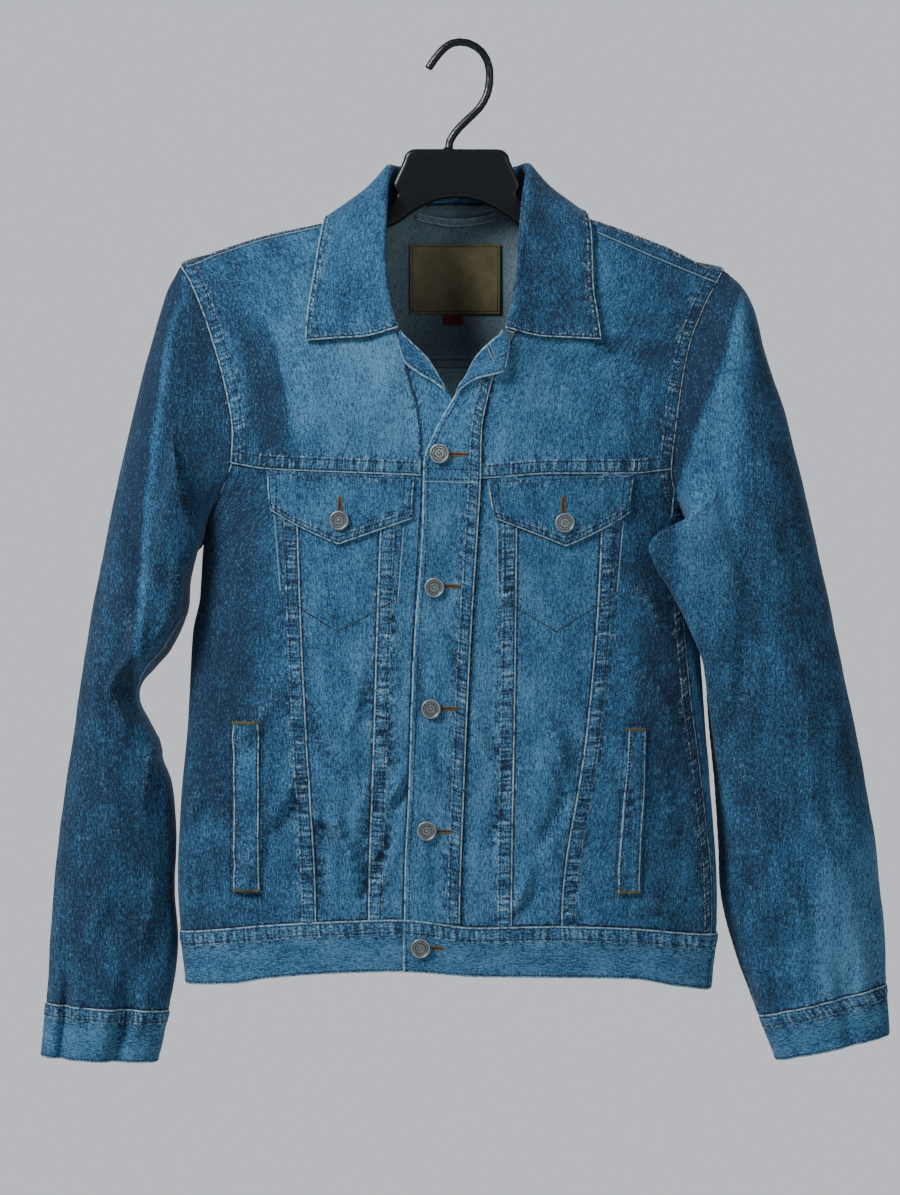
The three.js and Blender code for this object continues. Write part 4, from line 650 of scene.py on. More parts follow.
def make_denim(name, blue=BLUE, sky=SKY, shade=SHADE, grey=0.0):
    shader = Shader(name)
    mark, spread, step = shader.mark, shader.stretch, shader.soft_step
    times = lambda first, second: shader.sums("MULTIPLY", first, second)
    plus = lambda first, second: shader.sums("ADD", first, second)
    minus = lambda first, second: shader.sums("SUBTRACT", first, second)
    cloth = shader.node("UVMap", {"uv_map": "cloth"}).outputs[0]
    line = shader.node("UVMap", {"uv_map": "seam"}).outputs[0]

    # the yarn, and the fade over it, with painted light and shade mixed into the fade
    warp = spread(shader.pattern(cloth, (960, 190, 1), 1.0, 0.6), 0.34, 0.66)
    slub = spread(shader.pattern(cloth, (330, 20, 1), 1.0, 0.5), 0.33, 0.67)
    grain = spread(shader.pattern(cloth, (620, 560, 1), 1.0, 0.8), 0.36, 0.64)
    cloud = spread(shader.pattern(cloth, (42, 24, 1), 4.0, 0.65), 0.32, 0.68)
    yarn = plus(plus(times(warp, 0.46), times(slub, 0.14)), times(grain, 0.4))
    uneven = minus(yarn, 0.5)
    level = plus(times(yarn, 0.95), times(minus(cloud, 0.5), 0.42))
    level = plus(level, times(minus(mark("wash"), 0.52), 1.7))
    base = shader.blend(spread(level, 0.05, 0.5), shade, blue)
    base = shader.blend(spread(level, 0.45, 1.05), base, sky)
    base = shader.blend(times(step(level, 0.2, -0.3), 0.5), base, INDIGO_AND_SHADE)
    base = shader.blend(times(step(yarn, 0.6, 0.15), 0.28), base, INDIGO_AND_SHADE)
    base = shader.blend(times(step(yarn, 0.5, 0.92), 0.18), base, sky)

    # distances from the nearest seam, in millimetres, and what lies on its band
    edge = times(shader.node("SeparateXYZ", None, Vector=line).outputs[1], 1000.0)
    band = times(mark("band"), 100.0)
    beyond = minus(edge, band)
    sewn = spread(band, 0.5, 1.0)
    inside = times(step(beyond, 0.2, -0.8), sewn)
    between = times(inside, step(edge, 1.2, 2.4))
    beside = times(step(beyond, 10.0, 1.0), step(beyond, -0.6, 0.6))
    ripple = spread(shader.pattern(line, (140, 50, 1), 2.0), 0.38, 0.62)
    ladder = spread(shader.pattern(line, (400, 40, 1), 1.0), 0.36, 0.64)
    power, fold = mark("power"), mark("fold")

    # indigo between the stitches and in patches beside them, a painted shadow line at a plain edge that
    # lies under a neighbour's band, and the stored crease marks: indigo mixed with painted shade in
    # crease troughs
    dark = times(between, times(step(ladder, 0.65, 0.1), 0.75))
    dark = plus(dark, times(times(beside, step(ripple, 0.75, 0.25)), 0.6))
    dark = plus(dark, times(times(step(edge, 2.0, 1.0), minus(1.0, sewn)), minus(1.0, fold)))
    dark = plus(times(dark, power), mark("dark"))
    broken = step(minus(dark, times(uneven, 0.9)), 0.2, 0.95)
    base = shader.blend(times(broken, 0.86), base, INDIGO_AND_SHADE)

    # rubbed white on the puckers, at a band's rim and along a folded edge, and the stored crease marks:
    # wear mixed with painted highlights on crease ridges
    pale = times(between, times(step(ladder, 0.5, 0.9), 0.55))
    pale = plus(pale, times(beside, times(step(ripple, 0.65, 0.95), 0.4)))
    pale = plus(times(pale, power), times(times(step(beyond, -1.6, -0.4), inside), times(power, 0.5)))
    pale = plus(pale, times(step(edge, 1.5, 0.7), times(fold, plus(0.55, times(ripple, 0.9)))))
    pale = plus(pale, mark("pale"))
    rubbed_and_highlit = step(plus(pale, times(uneven, 0.8)), 0.25, 1.2)
    base = shader.blend(times(rubbed_and_highlit, 0.75), base, WORN_AND_HIGHLIGHT)
    if grey:
        base = shader.blend(grey, base, GREY)

    # relief of the yarn, the twill's ribs and the puckers
    turned = shader.node("Mapping", None, Vector=cloth, Rotation=(0, 0, TWILL_LEAN))
    ribs = {"Scale": 190.0, "Distortion": 1.0, "Detail": 1.0}
    twill = shader.node("TexWave", None, Vector=turned.outputs[0], **ribs).outputs[1]
    relief = plus(times(yarn, 0.5), times(twill, 0.15))
    relief = plus(relief, times(times(between, power), times(ripple, 1.6)))
    relief = plus(relief, times(times(beside, power), times(ripple, 0.9)))
    sheen = {"Sheen_Weight": 0.1, "Sheen_Roughness": 0.5, "Specular_IOR_Level": 0.25}
    return shader.finish(base, 0.88, relief, 0.7, 0.0006, **sheen)


DENIM = make_denim("denim")
DENIM_INSIDE = make_denim(
    "denim_inside", colour(88, 118, 134), colour(118, 144, 156), colour(58, 84, 102), 0.3
)
print("denim mixed with", len(DENIM.node_tree.nodes), "nodes")

# %% [markdown]
# Cloth is easiest to make as a grid, because its rows and columns run with the yarns: a
# place on the piece is then a share of its width and of its height. The grid is closer
# beside sewn edges, where the seam needs more points. These helpers work on all of a
# grid's points at once.

# %% Grid helpers
CELL = 3.0  # millimetres between a grid's lines
FINE = 1.7  # the same beside a sewn edge
SEWN_REACH = 15  # how far from the edge that is
random = np.random.default_rng(7)


def graded(length, start, end, cell):
    """Shares along a side, close together beside its sewn ends."""
    places = [0.0]
    while places[-1] < length:
        near = min(places[-1] if start else 1e9, length - places[-1] if end else 1e9)
        places.append(places[-1] + (FINE if near < SEWN_REACH else cell))
    return np.array(places) / places[-1]


def lengths(points, axis):
    """How far each point lies from its row's or column's start, along the cloth."""
    steps = np.linalg.norm(np.diff(points, axis=axis), axis=-1)
    start = np.zeros_like(np.take(steps, [0], axis))
    return np.concatenate([start, np.cumsum(steps, axis)], axis)


def unit(vectors):
    """The same directions with a length of 1."""
    return vectors / np.maximum(np.linalg.norm(vectors, axis=-1, keepdims=True), 1e-9)


def normals_of(points):
    """The direction straight out of a grid at each point."""
    return unit(np.cross(np.gradient(points, axis=0), np.gradient(points, axis=1)))


def softened(out, passes=4):
    """Directions, each turned a little towards its neighbours'."""
    for _ in range(passes):
        wide = np.pad(out, ((1, 1), (1, 1), (0, 0)), mode="edge")
        out = out + wide[2:, 1:-1] + wide[:-2, 1:-1] + wide[1:-1, 2:] + wide[1:-1, :-2]
    return unit(out)


def pucker(distance, seed):
    """Uneven ripples along a seam, from -1 to 1."""
    sway = np.sin(distance / 5.3 + seed) * 1.1 + np.sin(distance / 13.7 + 2.3 * seed) * 1.6
    return np.sin(distance * 2 * math.pi / 8.3 + sway)


print("a panel 40 mm wide has", len(graded(40, True, True, CELL)), "lines across it")

# %% [markdown]
# A grid primitive already has the faces and the UV map of a flat piece. Its points are
# moved to where they belong, its UV map is filled in metres, and the marks for the
# material are stored on its points. A solidify modifier then gives it a wall, so that
# the cloth's edge has a thickness and its inside can have a look of its own.

# %% One piece of cloth
def grid_piece(name, points, uv, seam_uv, marks, thick, materials):
    """A grid primitive, its points moved to where they belong, with a wall's thickness."""
    rows, columns = points.shape[:2]
    bpy.ops.object.select_all(action="DESELECT")
    bpy.ops.mesh.primitive_grid_add(x_subdivisions=columns - 1, y_subdivisions=rows - 1, size=1)
    piece = bpy.context.object
    piece.name = name
    mesh = piece.data
    mesh.name = name
    assert len(mesh.vertices) == rows * columns
    mesh.vertices.foreach_set("co", (points[::-1] * MM).ravel())
    corner = np.zeros(len(mesh.loops), int)
    mesh.loops.foreach_get("vertex_index", corner)
    mesh.uv_layers[0].name = "cloth"
    mesh.uv_layers.new(name="seam")
    for layer, places in zip(mesh.uv_layers, (uv, seam_uv)):
        layer.data.foreach_set("uv", (places[::-1].reshape(-1, 2) * MM)[corner].ravel())
    for key, values in marks.items():
        made = mesh.attributes.new(key, "FLOAT", "POINT")
        made.data.foreach_set("value", np.clip(values[::-1], 0, 1).ravel())
    mesh.update()
    for material in materials:
        mesh.materials.append(material)
    if thick:
        wall = piece.modifiers.new("thickness", "SOLIDIFY")
        wall.thickness = thick * MM
        wall.offset = -1
        wall.material_offset = len(materials) - 1
        bpy.ops.object.modifier_apply(modifier=wall.name)
    bpy.ops.object.shade_smooth_by_angle(angle=math.radians(50))
    return piece


print("a solidify wall for one layer is", CLOTH, "mm thick")

# %% [markdown]
# A seam in denim is felled: one edge is folded over the other and sewn down with two
# rows of stitches. The band stands up by the extra layers, puckers between its rows
# because the thread shrank in the wash, and rubs white on the puckers. A free edge is
# turned in instead, and only wears pale along its fold. An edge that lies under a
# neighbour's band gets a thin painted shadow line along it. Each point takes the look
# of the seam that is nearest to it.

# %% Sewn edges
EDGES = ("left", "right", "top", "bottom")
WIDE_BAND = 5  # a band at least this wide is folded, and wears along its edge


def sew_edges(lift, reach, stretch, bands, halos, free, seed):
    """Adds the edges' rise to lift, and finds what the material reads of them."""
    nearest = np.full(lift.shape, 1e9)
    seam_uv = np.zeros(lift.shape + (2,))
    fold, power_map, band_map = np.zeros((3,) + lift.shape)
    for key in EDGES:
        if not (key in bands or key in halos or key in free):
            continue
        d, s = reach[key], stretch[key]
        band, rise, power = bands.get(key, (0, 0, 0.75))
        closer = d - band < nearest
        nearest = np.where(closer, d - band, nearest)
        seam_uv[closer] = np.stack([s + 37.0 * len(key), d], -1)[closer]
        fold[closer] = 1.0 if band >= WIDE_BAND or key in free else 0.0
        power_map[closer] = power if key in bands or key in halos else 0.0
        band_map[closer] = band / 100
        ripple = pucker(s + 0.5 * d, seed + len(key))
        if key in bands:
            inside = 1 - ramp(d, band - 0.9, band + 0.9)
            middle = bump((d - band / 2) / (band / 2))
            lift = lift + inside * rise + power * 0.45 * ripple * middle
            lift = lift - 0.35 * (bump((d - 2) / 1.6) + bump((d - band + 2) / 1.6))
        else:
            lift = lift + 0.4 * ripple * bump((d - 4) / 5)
        if key in bands or key in free:
            lift = lift - 0.5 * (1 - ramp(d, 0, 0.9))
    return lift, seam_uv, {"fold": fold, "power": power_map, "band": band_map}


def grain_places(grain, points, out, from_left, from_top):
    """Where each point lies on the flat cloth, for the yarn's streaks."""
    if grain == "down":
        return [from_left, from_top]
    if grain == "along":
        return [from_top, from_left]
    arc = lengths(points * [1, 1, 0], 1)
    front = int(out[..., 1].mean(0).argmin())
    way = np.sign(np.gradient(points[..., 0], axis=1)[:, front].mean())
    return [points[:, [front], 0] + way * (arc - arc[:, [front]]), -points[..., 2]]


print(len(EDGES), "edges can be sewn, wide bands start at", WIDE_BAND, "mm")

# %% [markdown]
# This is the helper that every cloth piece is made with. It lays a grid between the
# piece's edges on the form and measures it flat, which is the size that it was cut to.
# Then it lifts the grid by rumples, creases and sewn edges, along directions that are
# softened first so that a deep fold doesn't push its points through each other.

# %% The cloth helper
grids = {}


def lay_cloth(name, node, place, bands=None, halos=(), base=0.0, thick=CLOTH, hand=1, side=None,
              cell=CELL, wash=0.5, edge_gap=GAP / 2, soft=0.7, slot="denim", materials=None,
              free=(), grain="down"):
    """One cut piece of cloth, laid on the jacket's form."""
    bands = bands or {}
    ends = np.linspace(0, 1, 9)
    rough = place(*np.meshgrid(ends, ends))
    width = lengths(rough, 1)[:, -1].max()
    height = lengths(rough, 0)[-1].max()
    sewn = {*bands, *halos, *free}
    u = graded(width, "left" in sewn, "right" in sewn, cell)
    v = graded(height, "top" in sewn, "bottom" in sewn, cell)
    u = mix(edge_gap / width, 1 - edge_gap / width, u)
    v = mix(edge_gap / height, 1 - edge_gap / height, v)
    points = place(*np.meshgrid(u, v))
    if hand < 0:
        points = points[:, ::-1]
    out = normals_of(points)
    from_left, from_top = lengths(points, 1), lengths(points, 0)
    reach = {
        "left": from_left,
        "right": from_left[:, -1:] - from_left,
        "top": from_top,
        "bottom": from_top[-1:] - from_top,
    }
    if hand < 0:
        reach["left"], reach["right"] = reach["right"], reach["left"]
    stretch = {"left": from_top, "right": from_top, "top": from_left, "bottom": from_left}
    cells = np.cross(np.diff(points, axis=0)[:, :-1], np.diff(points, axis=1)[:-1])

    lift = base(*np.meshgrid(u, v)) if callable(base) else np.full(points.shape[:2], float(base))
    seed = float(random.uniform(0, 9))
    inner = np.minimum.reduce(list(reach.values()))
    lift = lift + soft * rumple(points, 34, seed) * ramp(inner, 0, 12)
    lift = lift + 0.35 * soft * rumple(points, 13, seed + 20) * ramp(inner, 0, 8)
    crease = crease_depth(side, points) if side else 0 * lift
    # crease ridges are marked pale, wear mixed with a painted highlight, and troughs dark, indigo mixed
    # with painted shade; the random pale patches are wear
    pale = 0.2 * np.clip(crease / 3, 0, 1) + 0.14 * ramp(rumple(points, 26, seed + 40), 0.15, 0.5)
    dark = 0.45 * np.clip(-crease / 1.8, 0, 1)
    lift, seam_uv, marks = sew_edges(lift + crease, reach, stretch, bands, halos, free, seed)
    points = points + softened(out) * lift[..., None]
    washed = wash(points) if callable(wash) else np.full(lift.shape, float(wash))
    marks.update(pale=pale, dark=dark, wash=washed)

    uv = np.stack(grain_places(grain, points, out, from_left, from_top), -1)
    uv = uv + random.uniform(0, 400, 2)
    piece = grid_piece(name, points, uv, seam_uv, marks, thick, materials or [DENIM, DENIM_INSIDE])
    flat = [max(round(float(side.max()) * MM, 3), 0.01) for side in (from_left[:, -1], from_top[-1])]
    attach(piece, "root")
    if node:
        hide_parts(node)
    grids[name] = {
        "points": points, "out": normals_of(points), "reach": reach, "bands": bands,
        "piece": piece, "hand": hand,
    }
    print(name, "cut", flat, "with", len(piece.data.polygons), "faces")
    return piece


print("the cloth helper lays a grid of", CELL, "mm cells, or", FINE, "mm beside a seam")

# %% [markdown]
# Worn denim has faded unevenly, and painted light and shade are mixed into the same
# numbers. The middle of the fronts has faded lightest, and the sides under the arms and
# the sleeves' undersides stay dark, partly from the fade and partly as painted shade.
# The left chest is lighter, partly from the fade and partly as painted light, and the
# parts of the sleeves that face the key light are lighter as painted light. The shaded
# side of a fold is painted darker and its ridge painted lighter, the right sleeve's head
# is painted shade, and the shadow of the right collar point is painted onto the right
# yoke. Each function gives these at points, from 0 for dark to 1 for nearly white.

# %% The fade
def front_wash(points):
    """The fronts: faded in the middle, painted light on the left chest, painted shade at the left
    yoke's fold and under the right collar.
    """
    x, z = points[..., 0], points[..., 2]
    out_from_middle = np.abs(x + 8)
    below = ramp(-z, 340, 420)
    # faded palest in the middle; the sides' darkness is partly fade and partly painted shade
    middle = 0.48 + 0.14 * bump((x + 8) / 190)
    middle = middle - (0.12 + 0.16 * below) * ramp(out_from_middle, 120, 200)
    # the left chest is lighter, partly fade and partly painted light
    chest = 0.14 * bump((z + 270) / 130) * ramp(-x, -40, 60)
    # painted shade on the shaded side of the left yoke's fold
    fold = np.interp(-z, [205, 260, 300, 333, 360], [-187, -157, -149, -143, -136])
    shaded = (1 - ramp(x, fold - 3, fold + 3)) * ramp(x, fold - 42, fold - 24)
    shaded = shaded * bump((z + 300) / 110)
    # painted shadow of the right collar point, a narrow band across the right yoke
    collar_shadow = 0.16 * bump((z + 258 + 0.15 * (x - 110)) / 16)
    collar_shadow = collar_shadow * ramp(x, 105, 125) * (1 - ramp(x, 165, 190))
    low_sides = 0.15 * ramp(-z, 560, 700) * ramp(out_from_middle, 120, 190)
    return middle + chest - 0.34 * shaded - collar_shadow + low_sides


def sleeve_wash(points):
    """The sleeves: painted shade and a painted highlight at the left sleeve's fold, painted light and
    shade on the right sleeve.
    """
    x, z = points[..., 0], points[..., 2]
    front = points[..., 1] < 0
    # right sleeve: painted shade on its head beside the armhole, painted light on the open part between
    # that and its ridge and on its lower outer part
    shade_line = np.interp(-z, [190, 218, 268, 319, 365, 390], [247, 239, 226, 206, 191, 183])
    ridge_line = np.interp(-z, [230, 294, 420, 522, 600], [247, 242, 231, 221, 214])
    past_shade = ramp(x, shade_line - 3, shade_line + 3)
    shaded_head = (1 - past_shade) * front * ramp(z, -400, -365)
    lit_open_part = (1 - ramp(x, ridge_line - 4, ridge_line + 12)) * past_shade * front
    low_part = ramp(-z, 600, 760) * ramp(x, 270, 320)
    lit_right = 0.22 * lit_open_part * (1 - ramp(-z, 440, 560)) - 0.18 * shaded_head + 0.3 * low_part
    # left sleeve: painted light towards the armhole, painted shade at the top
    lit_left = -0.08 - 0.06 * ramp(z, -420, -330) + 0.06 * ramp(x, -325, -265)
    lit = np.where(x > 0, lit_right, lit_left)
    # painted shade beside the left sleeve's long fold, and a painted highlight along its ridge
    fold = np.interp(
        -z, [218, 240, 274, 332, 395, 458, 534, 556], [-238, -248, -253, -261, -268, -272, -277, -279]
    )
    behind = (fold - x) * front
    above_elbow = ramp(z, -570, -550) * (x < 0)
    shaded = ramp(behind, 0, 3) * (1 - ramp(behind, 6, 34)) * above_elbow
    ridge = bump((behind + 3) / 6) * front * above_elbow
    return 0.36 + lit + 0.04 * ramp(-z, 700, 860) - 0.16 * shaded + 0.2 * ridge


spots = np.array([[0, 0, -270.0], [-190, 0, -500]])
print("wash on the chest and under the arm:", front_wash(spots).round(2).tolist())

# %% [markdown]
# The front yokes run from the shoulder seams to the seam above the chest pockets. The
# back of the jacket folds over the shoulder, so its edge shows on the front as a pale
# line, and the armhole's felled band lies on the yoke.

# %% Front yokes
FELLED = (12.5, 0.9, 1.0)  # a band's width, how far it stands up, how strongly it puckers
ARMHOLE = (11.5, 0.9, 0.9)


def front_yoke(name, left):
    neck = LEFT_NECK if left else RIGHT_NECK
    placket = LEFT_STITCH[:6] if left else RIGHT_STITCH[:7]
    tip = BODY[0][1] if left else BODY[0][2]
    corner = BODY[6][1] if left else BODY[6][2]
    tip_z = float(ridge_at(tip)["z"])
    seam_z = float(levels_at(corner)["yoke"])
    neck_edge = down_line(neck + placket)
    side_edge = rim_line(-1 if left else 1, tip_z, seam_z)

    def top(share):
        x = mix(tip, neck[0][0], share) if left else mix(neck[0][0], tip, share)
        z = ridge_at(x)["z"]
        return around_at(x, z), z

    def bottom(share):
        x = mix(corner, placket[-1][0], share) if left else mix(placket[-1][0], corner, share)
        z = levels_at(x)["yoke"]
        return around_at(x, z), z

    edges = (side_edge, neck_edge) if left else (neck_edge, side_edge)
    outer = "left" if left else "right"
    inner = "right" if left else "left"
    bands = {"bottom": FELLED, outer: ARMHOLE, "top": (8 if left else 12, 0.7, 1.2)}
    place = coons(*edges, top, bottom)
    return lay_cloth(
        name + "_cloth", name, place, bands, halos=(inner,), side="front", wash=front_wash
    )


front_yoke("front_yoke_left", True)
front_yoke("front_yoke_right", False)

# %% [markdown]
# Below the yoke each front is three panels between the two slanting seams, the side
# seam and the placket. The felled bands lie on the outer panels' inner edges. A panel's
# corners lie where its seams meet the yoke seam and the waistband, which is found by
# going to and fro a few times.

# %% Front panels
def body_seam(column, back=False):
    return lambda z: around_at(seams_at(z)[column], z, back)


def placket_seam(places):
    line = through(places)
    return lambda z: around_at(line(z)["x"], z)


def lower_panel(name, left_seam, right_seam, top_level, bottom_level, bands, halos, side, **more):
    def meets(find, level):
        z = -370.0
        for _ in range(5):
            z = float(levels_at(body_point(find(z), z)[0])[level])
        return z

    def edge(find):
        start, end = meets(find, top_level), meets(find, bottom_level)

        def at(share):
            z = mix(start, end, np.asarray(share, float))
            return find(z) + 0 * z, z

        return at

    left, right = edge(left_seam), edge(right_seam)

    def level(line, end):
        def at(share):
            start, stop = left(end), right(end)
            around = mix(start[0], stop[0], share)
            x = body_point(around, mix(start[1], stop[1], share))[..., 0]
            return around, levels_at(x)[line]

        return at

    place = coons(left, right, level(top_level, 0), level(bottom_level, 1))
    return lay_cloth(name + "_cloth", name, place, bands, halos, side=side, **more)


FRONT = ("yoke", "band_top")
ENDS = ("top", "bottom")
ALL_ROUND = ("top", "left", "right", "bottom")
SIDE_BAND = (9, 0.6, 1.0)
left_side = lambda z: -1 + 0 * np.asarray(z, float)
right_side = lambda z: side_seam_at(z)["right"]
outer_left, inner_left, inner_right, outer_right = (body_seam(key) for key in SEAM_NAMES[:4])
right_placket = placket_seam(RIGHT_STITCH)
FRONT_PANELS = [
    # name, the seams on both sides, felled bands, other sewn edges
    ("front_side_left", left_side, outer_left, {"right": FELLED}, ENDS),
    ("front_middle_left", outer_left, inner_left, {}, ALL_ROUND),
    ("front_centre_left", inner_left, placket_seam(LEFT_STITCH), {"left": FELLED}, ENDS),
    ("front_centre_right", right_placket, inner_right, {"right": FELLED}, ENDS + ("left",)),
    ("front_middle_right", inner_right, outer_right, {}, ALL_ROUND),
    ("front_side_right", outer_right, right_side, {"left": FELLED, "right": SIDE_BAND}, ENDS),
]
for name, start, end, bands, halos in FRONT_PANELS:
    lower_panel(name, start, end, *FRONT, bands, halos, "front", wash=front_wash)

# %% [markdown]
# The back is three panels between two slanting seams. Its side panels reach round to
# the side seams, and above those to the armholes' rims. Their grid is coarser, because
# they are large and plain.

# %% Back panels
def right_back_side(z):
    """The side seam below the armhole, and the armhole's rim above it."""
    z = np.asarray(z, float)
    return np.maximum(side_seam_at(z)["right"], np.where(z > UNDERARM, BEHIND_RIGHT, 0))


left_back_side = lambda z: BEHIND_LEFT + 0 * np.asarray(z, float)
BACK = ("back_yoke", "back_band_top")
BACK_CELL = 4.4
back_left, back_right = (body_seam(key, True) for key in SEAM_NAMES[4:])
BACK_PANELS = [
    ("back_side_right", right_back_side, back_right, {"right": FELLED}, ENDS + ("left",)),
    ("back_centre", back_right, back_left, {}, ALL_ROUND),
    ("back_side_left", back_left, left_back_side, {"left": FELLED}, ENDS + ("right",)),
]
for name, start, end, bands, halos in BACK_PANELS:
    lower_panel(name, start, end, *BACK, bands, halos, "back", cell=BACK_CELL)

# %% [markdown]
# The back yoke is one piece from shoulder to shoulder. Its upper edge follows both
# shoulder seams and the neck between them, and its lower edge is a felled seam across
# the back. The armholes' bands lie on both of its sides.

# %% Back yoke
BACK_NECK = [
    (74, -138.5), (61, -137), (31, -134), (-2.5, -132.5), (-36, -134), (-66, -138), (-79, -142),
]


def back_yoke():
    right_tip, left_tip = BODY[0][4], BODY[0][3]
    seam_z = LEVELS[0][4]
    shoulder = lambda start, end: [(x, float(ridge_at(x)["z"])) for x in np.linspace(start, end, 7)]
    top = on_body(shoulder(right_tip, 75)[:-1] + BACK_NECK + shoulder(-80, left_tip)[1:], True)
    top[0] = (BEHIND_RIGHT, top[0][1])
    top[-1] = (BEHIND_LEFT, top[-1][1])
    left = rim_line(BEHIND_RIGHT, top[0][1], seam_z)
    right = rim_line(BEHIND_LEFT, top[-1][1], seam_z)

    def bottom(share):
        x = mix(BODY[5][4], BODY[5][3], share)
        z = levels_at(x)["back_yoke"]
        return around_at(x, z, True), z

    place = coons(left, right, along(top), bottom)
    bands = {"bottom": FELLED, "left": ARMHOLE, "right": ARMHOLE}
    return lay_cloth(
        "back_yoke_cloth", "back_yoke", place, bands, ("top",), side="back", wash=0.58, cell=4.2
    )


back_yoke()

# %% [markdown]
# The right front laps over the left, so its placket stands above everything else. The
# waistband is a double strip round the hem, open where the plackets meet.

# %% Plackets and waistband
PLACKET_TOP = 3.0  # how far the upper placket stands above the fronts
BAND_LEVEL = -780  # a height inside the waistband


def placket(name, left, right, base, bands, **more):
    return lay_cloth(name + "_cloth", name, across(left, right), bands, base=base, thick=1.6,
                     side="front", wash=0.58, cell=2.6, **more)


left_sewn = down_line(LEFT_STITCH, line=through(LEFT_NECK + LEFT_STITCH))
right_sewn = down_line(RIGHT_STITCH, line=through(RIGHT_NECK + RIGHT_STITCH))
placket("placket_left", left_sewn, down_line(LEFT_EDGE), 0.0, {}, halos=("left",))
placket("placket_right", down_line(RIGHT_EDGE), right_sewn, PLACKET_TOP,
        {"right": (11, 0.2, 1.3)}, free=("left",), soft=0.5)


def waistband(name, start, end, base, top="band_top", hem="hem", side="front", free=("bottom",),
              **more):
    def place(u, v):
        around = mix(start, end, u)
        line = levels_at(body_point(around, BAND_LEVEL)[..., 0])
        return body_point(around, mix(line[top], line[hem], v))

    return lay_cloth(name + "_cloth", name, place, {"top": (13, 0.4, 1.1)}, base=base, thick=1.8,
                     side=side, free=free, wash=0.6, soft=1.3, grain="along", **more)


SEAM_END = SIDE_SEAM[-1][1]
LEFT_END, RIGHT_END = (float(around_at(x, BAND_LEVEL)) for x in (6, -48.5))
waistband("waistband_left", -1, LEFT_END, 0.3)
waistband("waistband_right", RIGHT_END, SEAM_END, PLACKET_TOP, halos=("right",),
          free=("bottom", "left"))
waistband("waistband_back", SEAM_END, 3, 1.2, "back_band_top", "back_hem", "back", cell=3.4)

# %% [markdown]
# A chest pocket shows as a pointed flap, and a side pocket as a narrow upright welt.
# Both are folded double and sewn onto the panels, so they follow the same form a little
# higher. Each is laid between its own four edges.

# %% Flaps and welts
FLAPS = {
    "flap_left": {
        "left": [(-164.6, -367.4), (-161.6, -400.5)],
        "right": [(-38.4, -373.5), (-40.1, -409)],
        "top": [(-164.6, -367.4), (-102, -370.5), (-38.4, -373.5)],
        "bottom": [(-161.6, -400.5), (-103.2, -431.1), (-40.1, -409)],
    },
    "flap_right": {
        "left": [(23.3, -375.9), (29.3, -409)],
        "right": [(147.8, -371), (144.7, -403.1)],
        "top": [(23.3, -375.9), (86, -373), (147.8, -371)],
        "bottom": [(29.3, -409), (89.1, -432.8), (144.7, -403.1)],
    },
}
WELTS = {
    "welt_left": ([(-193.1, -581.6), (-193.1, -726.9)], [(-171, -581.6), (-171, -726.9)]),
    "welt_right": ([(143.1, -587.1), (133.9, -727.8)], [(157.6, -587.1), (152.9, -727.8)]),
}
for name, shape in FLAPS.items():
    lines = {key: along(on_body(places)) for key, places in shape.items()}
    place = coons(lines["left"], lines["right"], lines["top"], lines["bottom"])
    lay_cloth(name + "_cloth", name, place, {"bottom": (8, 0.1, 1.3), "top": (3, 0.1, 2.0)},
              base=3.2, thick=1.6, side="front", free=("left", "right", "bottom"), wash=0.53,
              cell=2.4, soft=0.9)
for name, (left, right) in WELTS.items():
    place = across(down_line(left), down_line(right))
    lay_cloth(name + "_cloth", name, place, {"left": (3, 0.1, 0.8)}, base=2.6, thick=1.4,
              side="front", free=("left", "right"), wash=0.47, cell=2.2)

# %% [markdown]
# Below the collar the fronts are left open, and the tops of their facings turn out as
# two small lapels. Each is a strip between the roll and its free edge, which lifts off
# the front a little more than the roll does.

# %% Lapels
LAPELS = {
    # x and z at the roll, x and z at the free edge, lift of the free edge
    "lapel_left": [
        (-49.5, -249, -51.5, -256, 1), (-42.6, -257.5, -47.5, -276, 3), (-27.3, -273, -35.8, -286, 2.6),
        (-16.8, -290, -20.5, -295.1, 2), (-12.5, -299, -13.5, -301.5, 1.4),
    ],
    "lapel_right": [
        (34.7, -249, 41, -258.6, 1), (23.7, -260.3, 37.9, -284.1, 3.4), (12.6, -272.2, 14, -291.3, 3),
        (4.1, -288.3, 3.2, -297.7, 2.2), (-3.6, -301.5, -1.6, -304.2, 1.6),
    ],
}
for name, rows in LAPELS.items():
    on_left = name.endswith("left")
    roll = down_line([row[:2] for row in rows])
    edge = down_line([row[2:4] for row in rows])
    rises = [row[4] for row in rows]
    height = 2.3 if on_left else PLACKET_TOP + 2.2

    def lapel_base(u, v):
        rise = np.interp(v * (len(rises) - 1), range(len(rises)), rises)
        return height + rise * ((1 - u) if on_left else u)

    place = across(edge, roll) if on_left else across(roll, edge)
    lay_cloth(name + "_cloth", name, place, {}, base=lapel_base, thick=1.4, side="front",
              free=("left", "right"), wash=0.56, cell=1.8, soft=0.3)

# %% [markdown]
# The collar stands up from the neck seam, folds, and falls outwards onto the shoulders
# in two long points. Its sections are found at seventeen stations round the neck, and
# joined smoothly both ways.

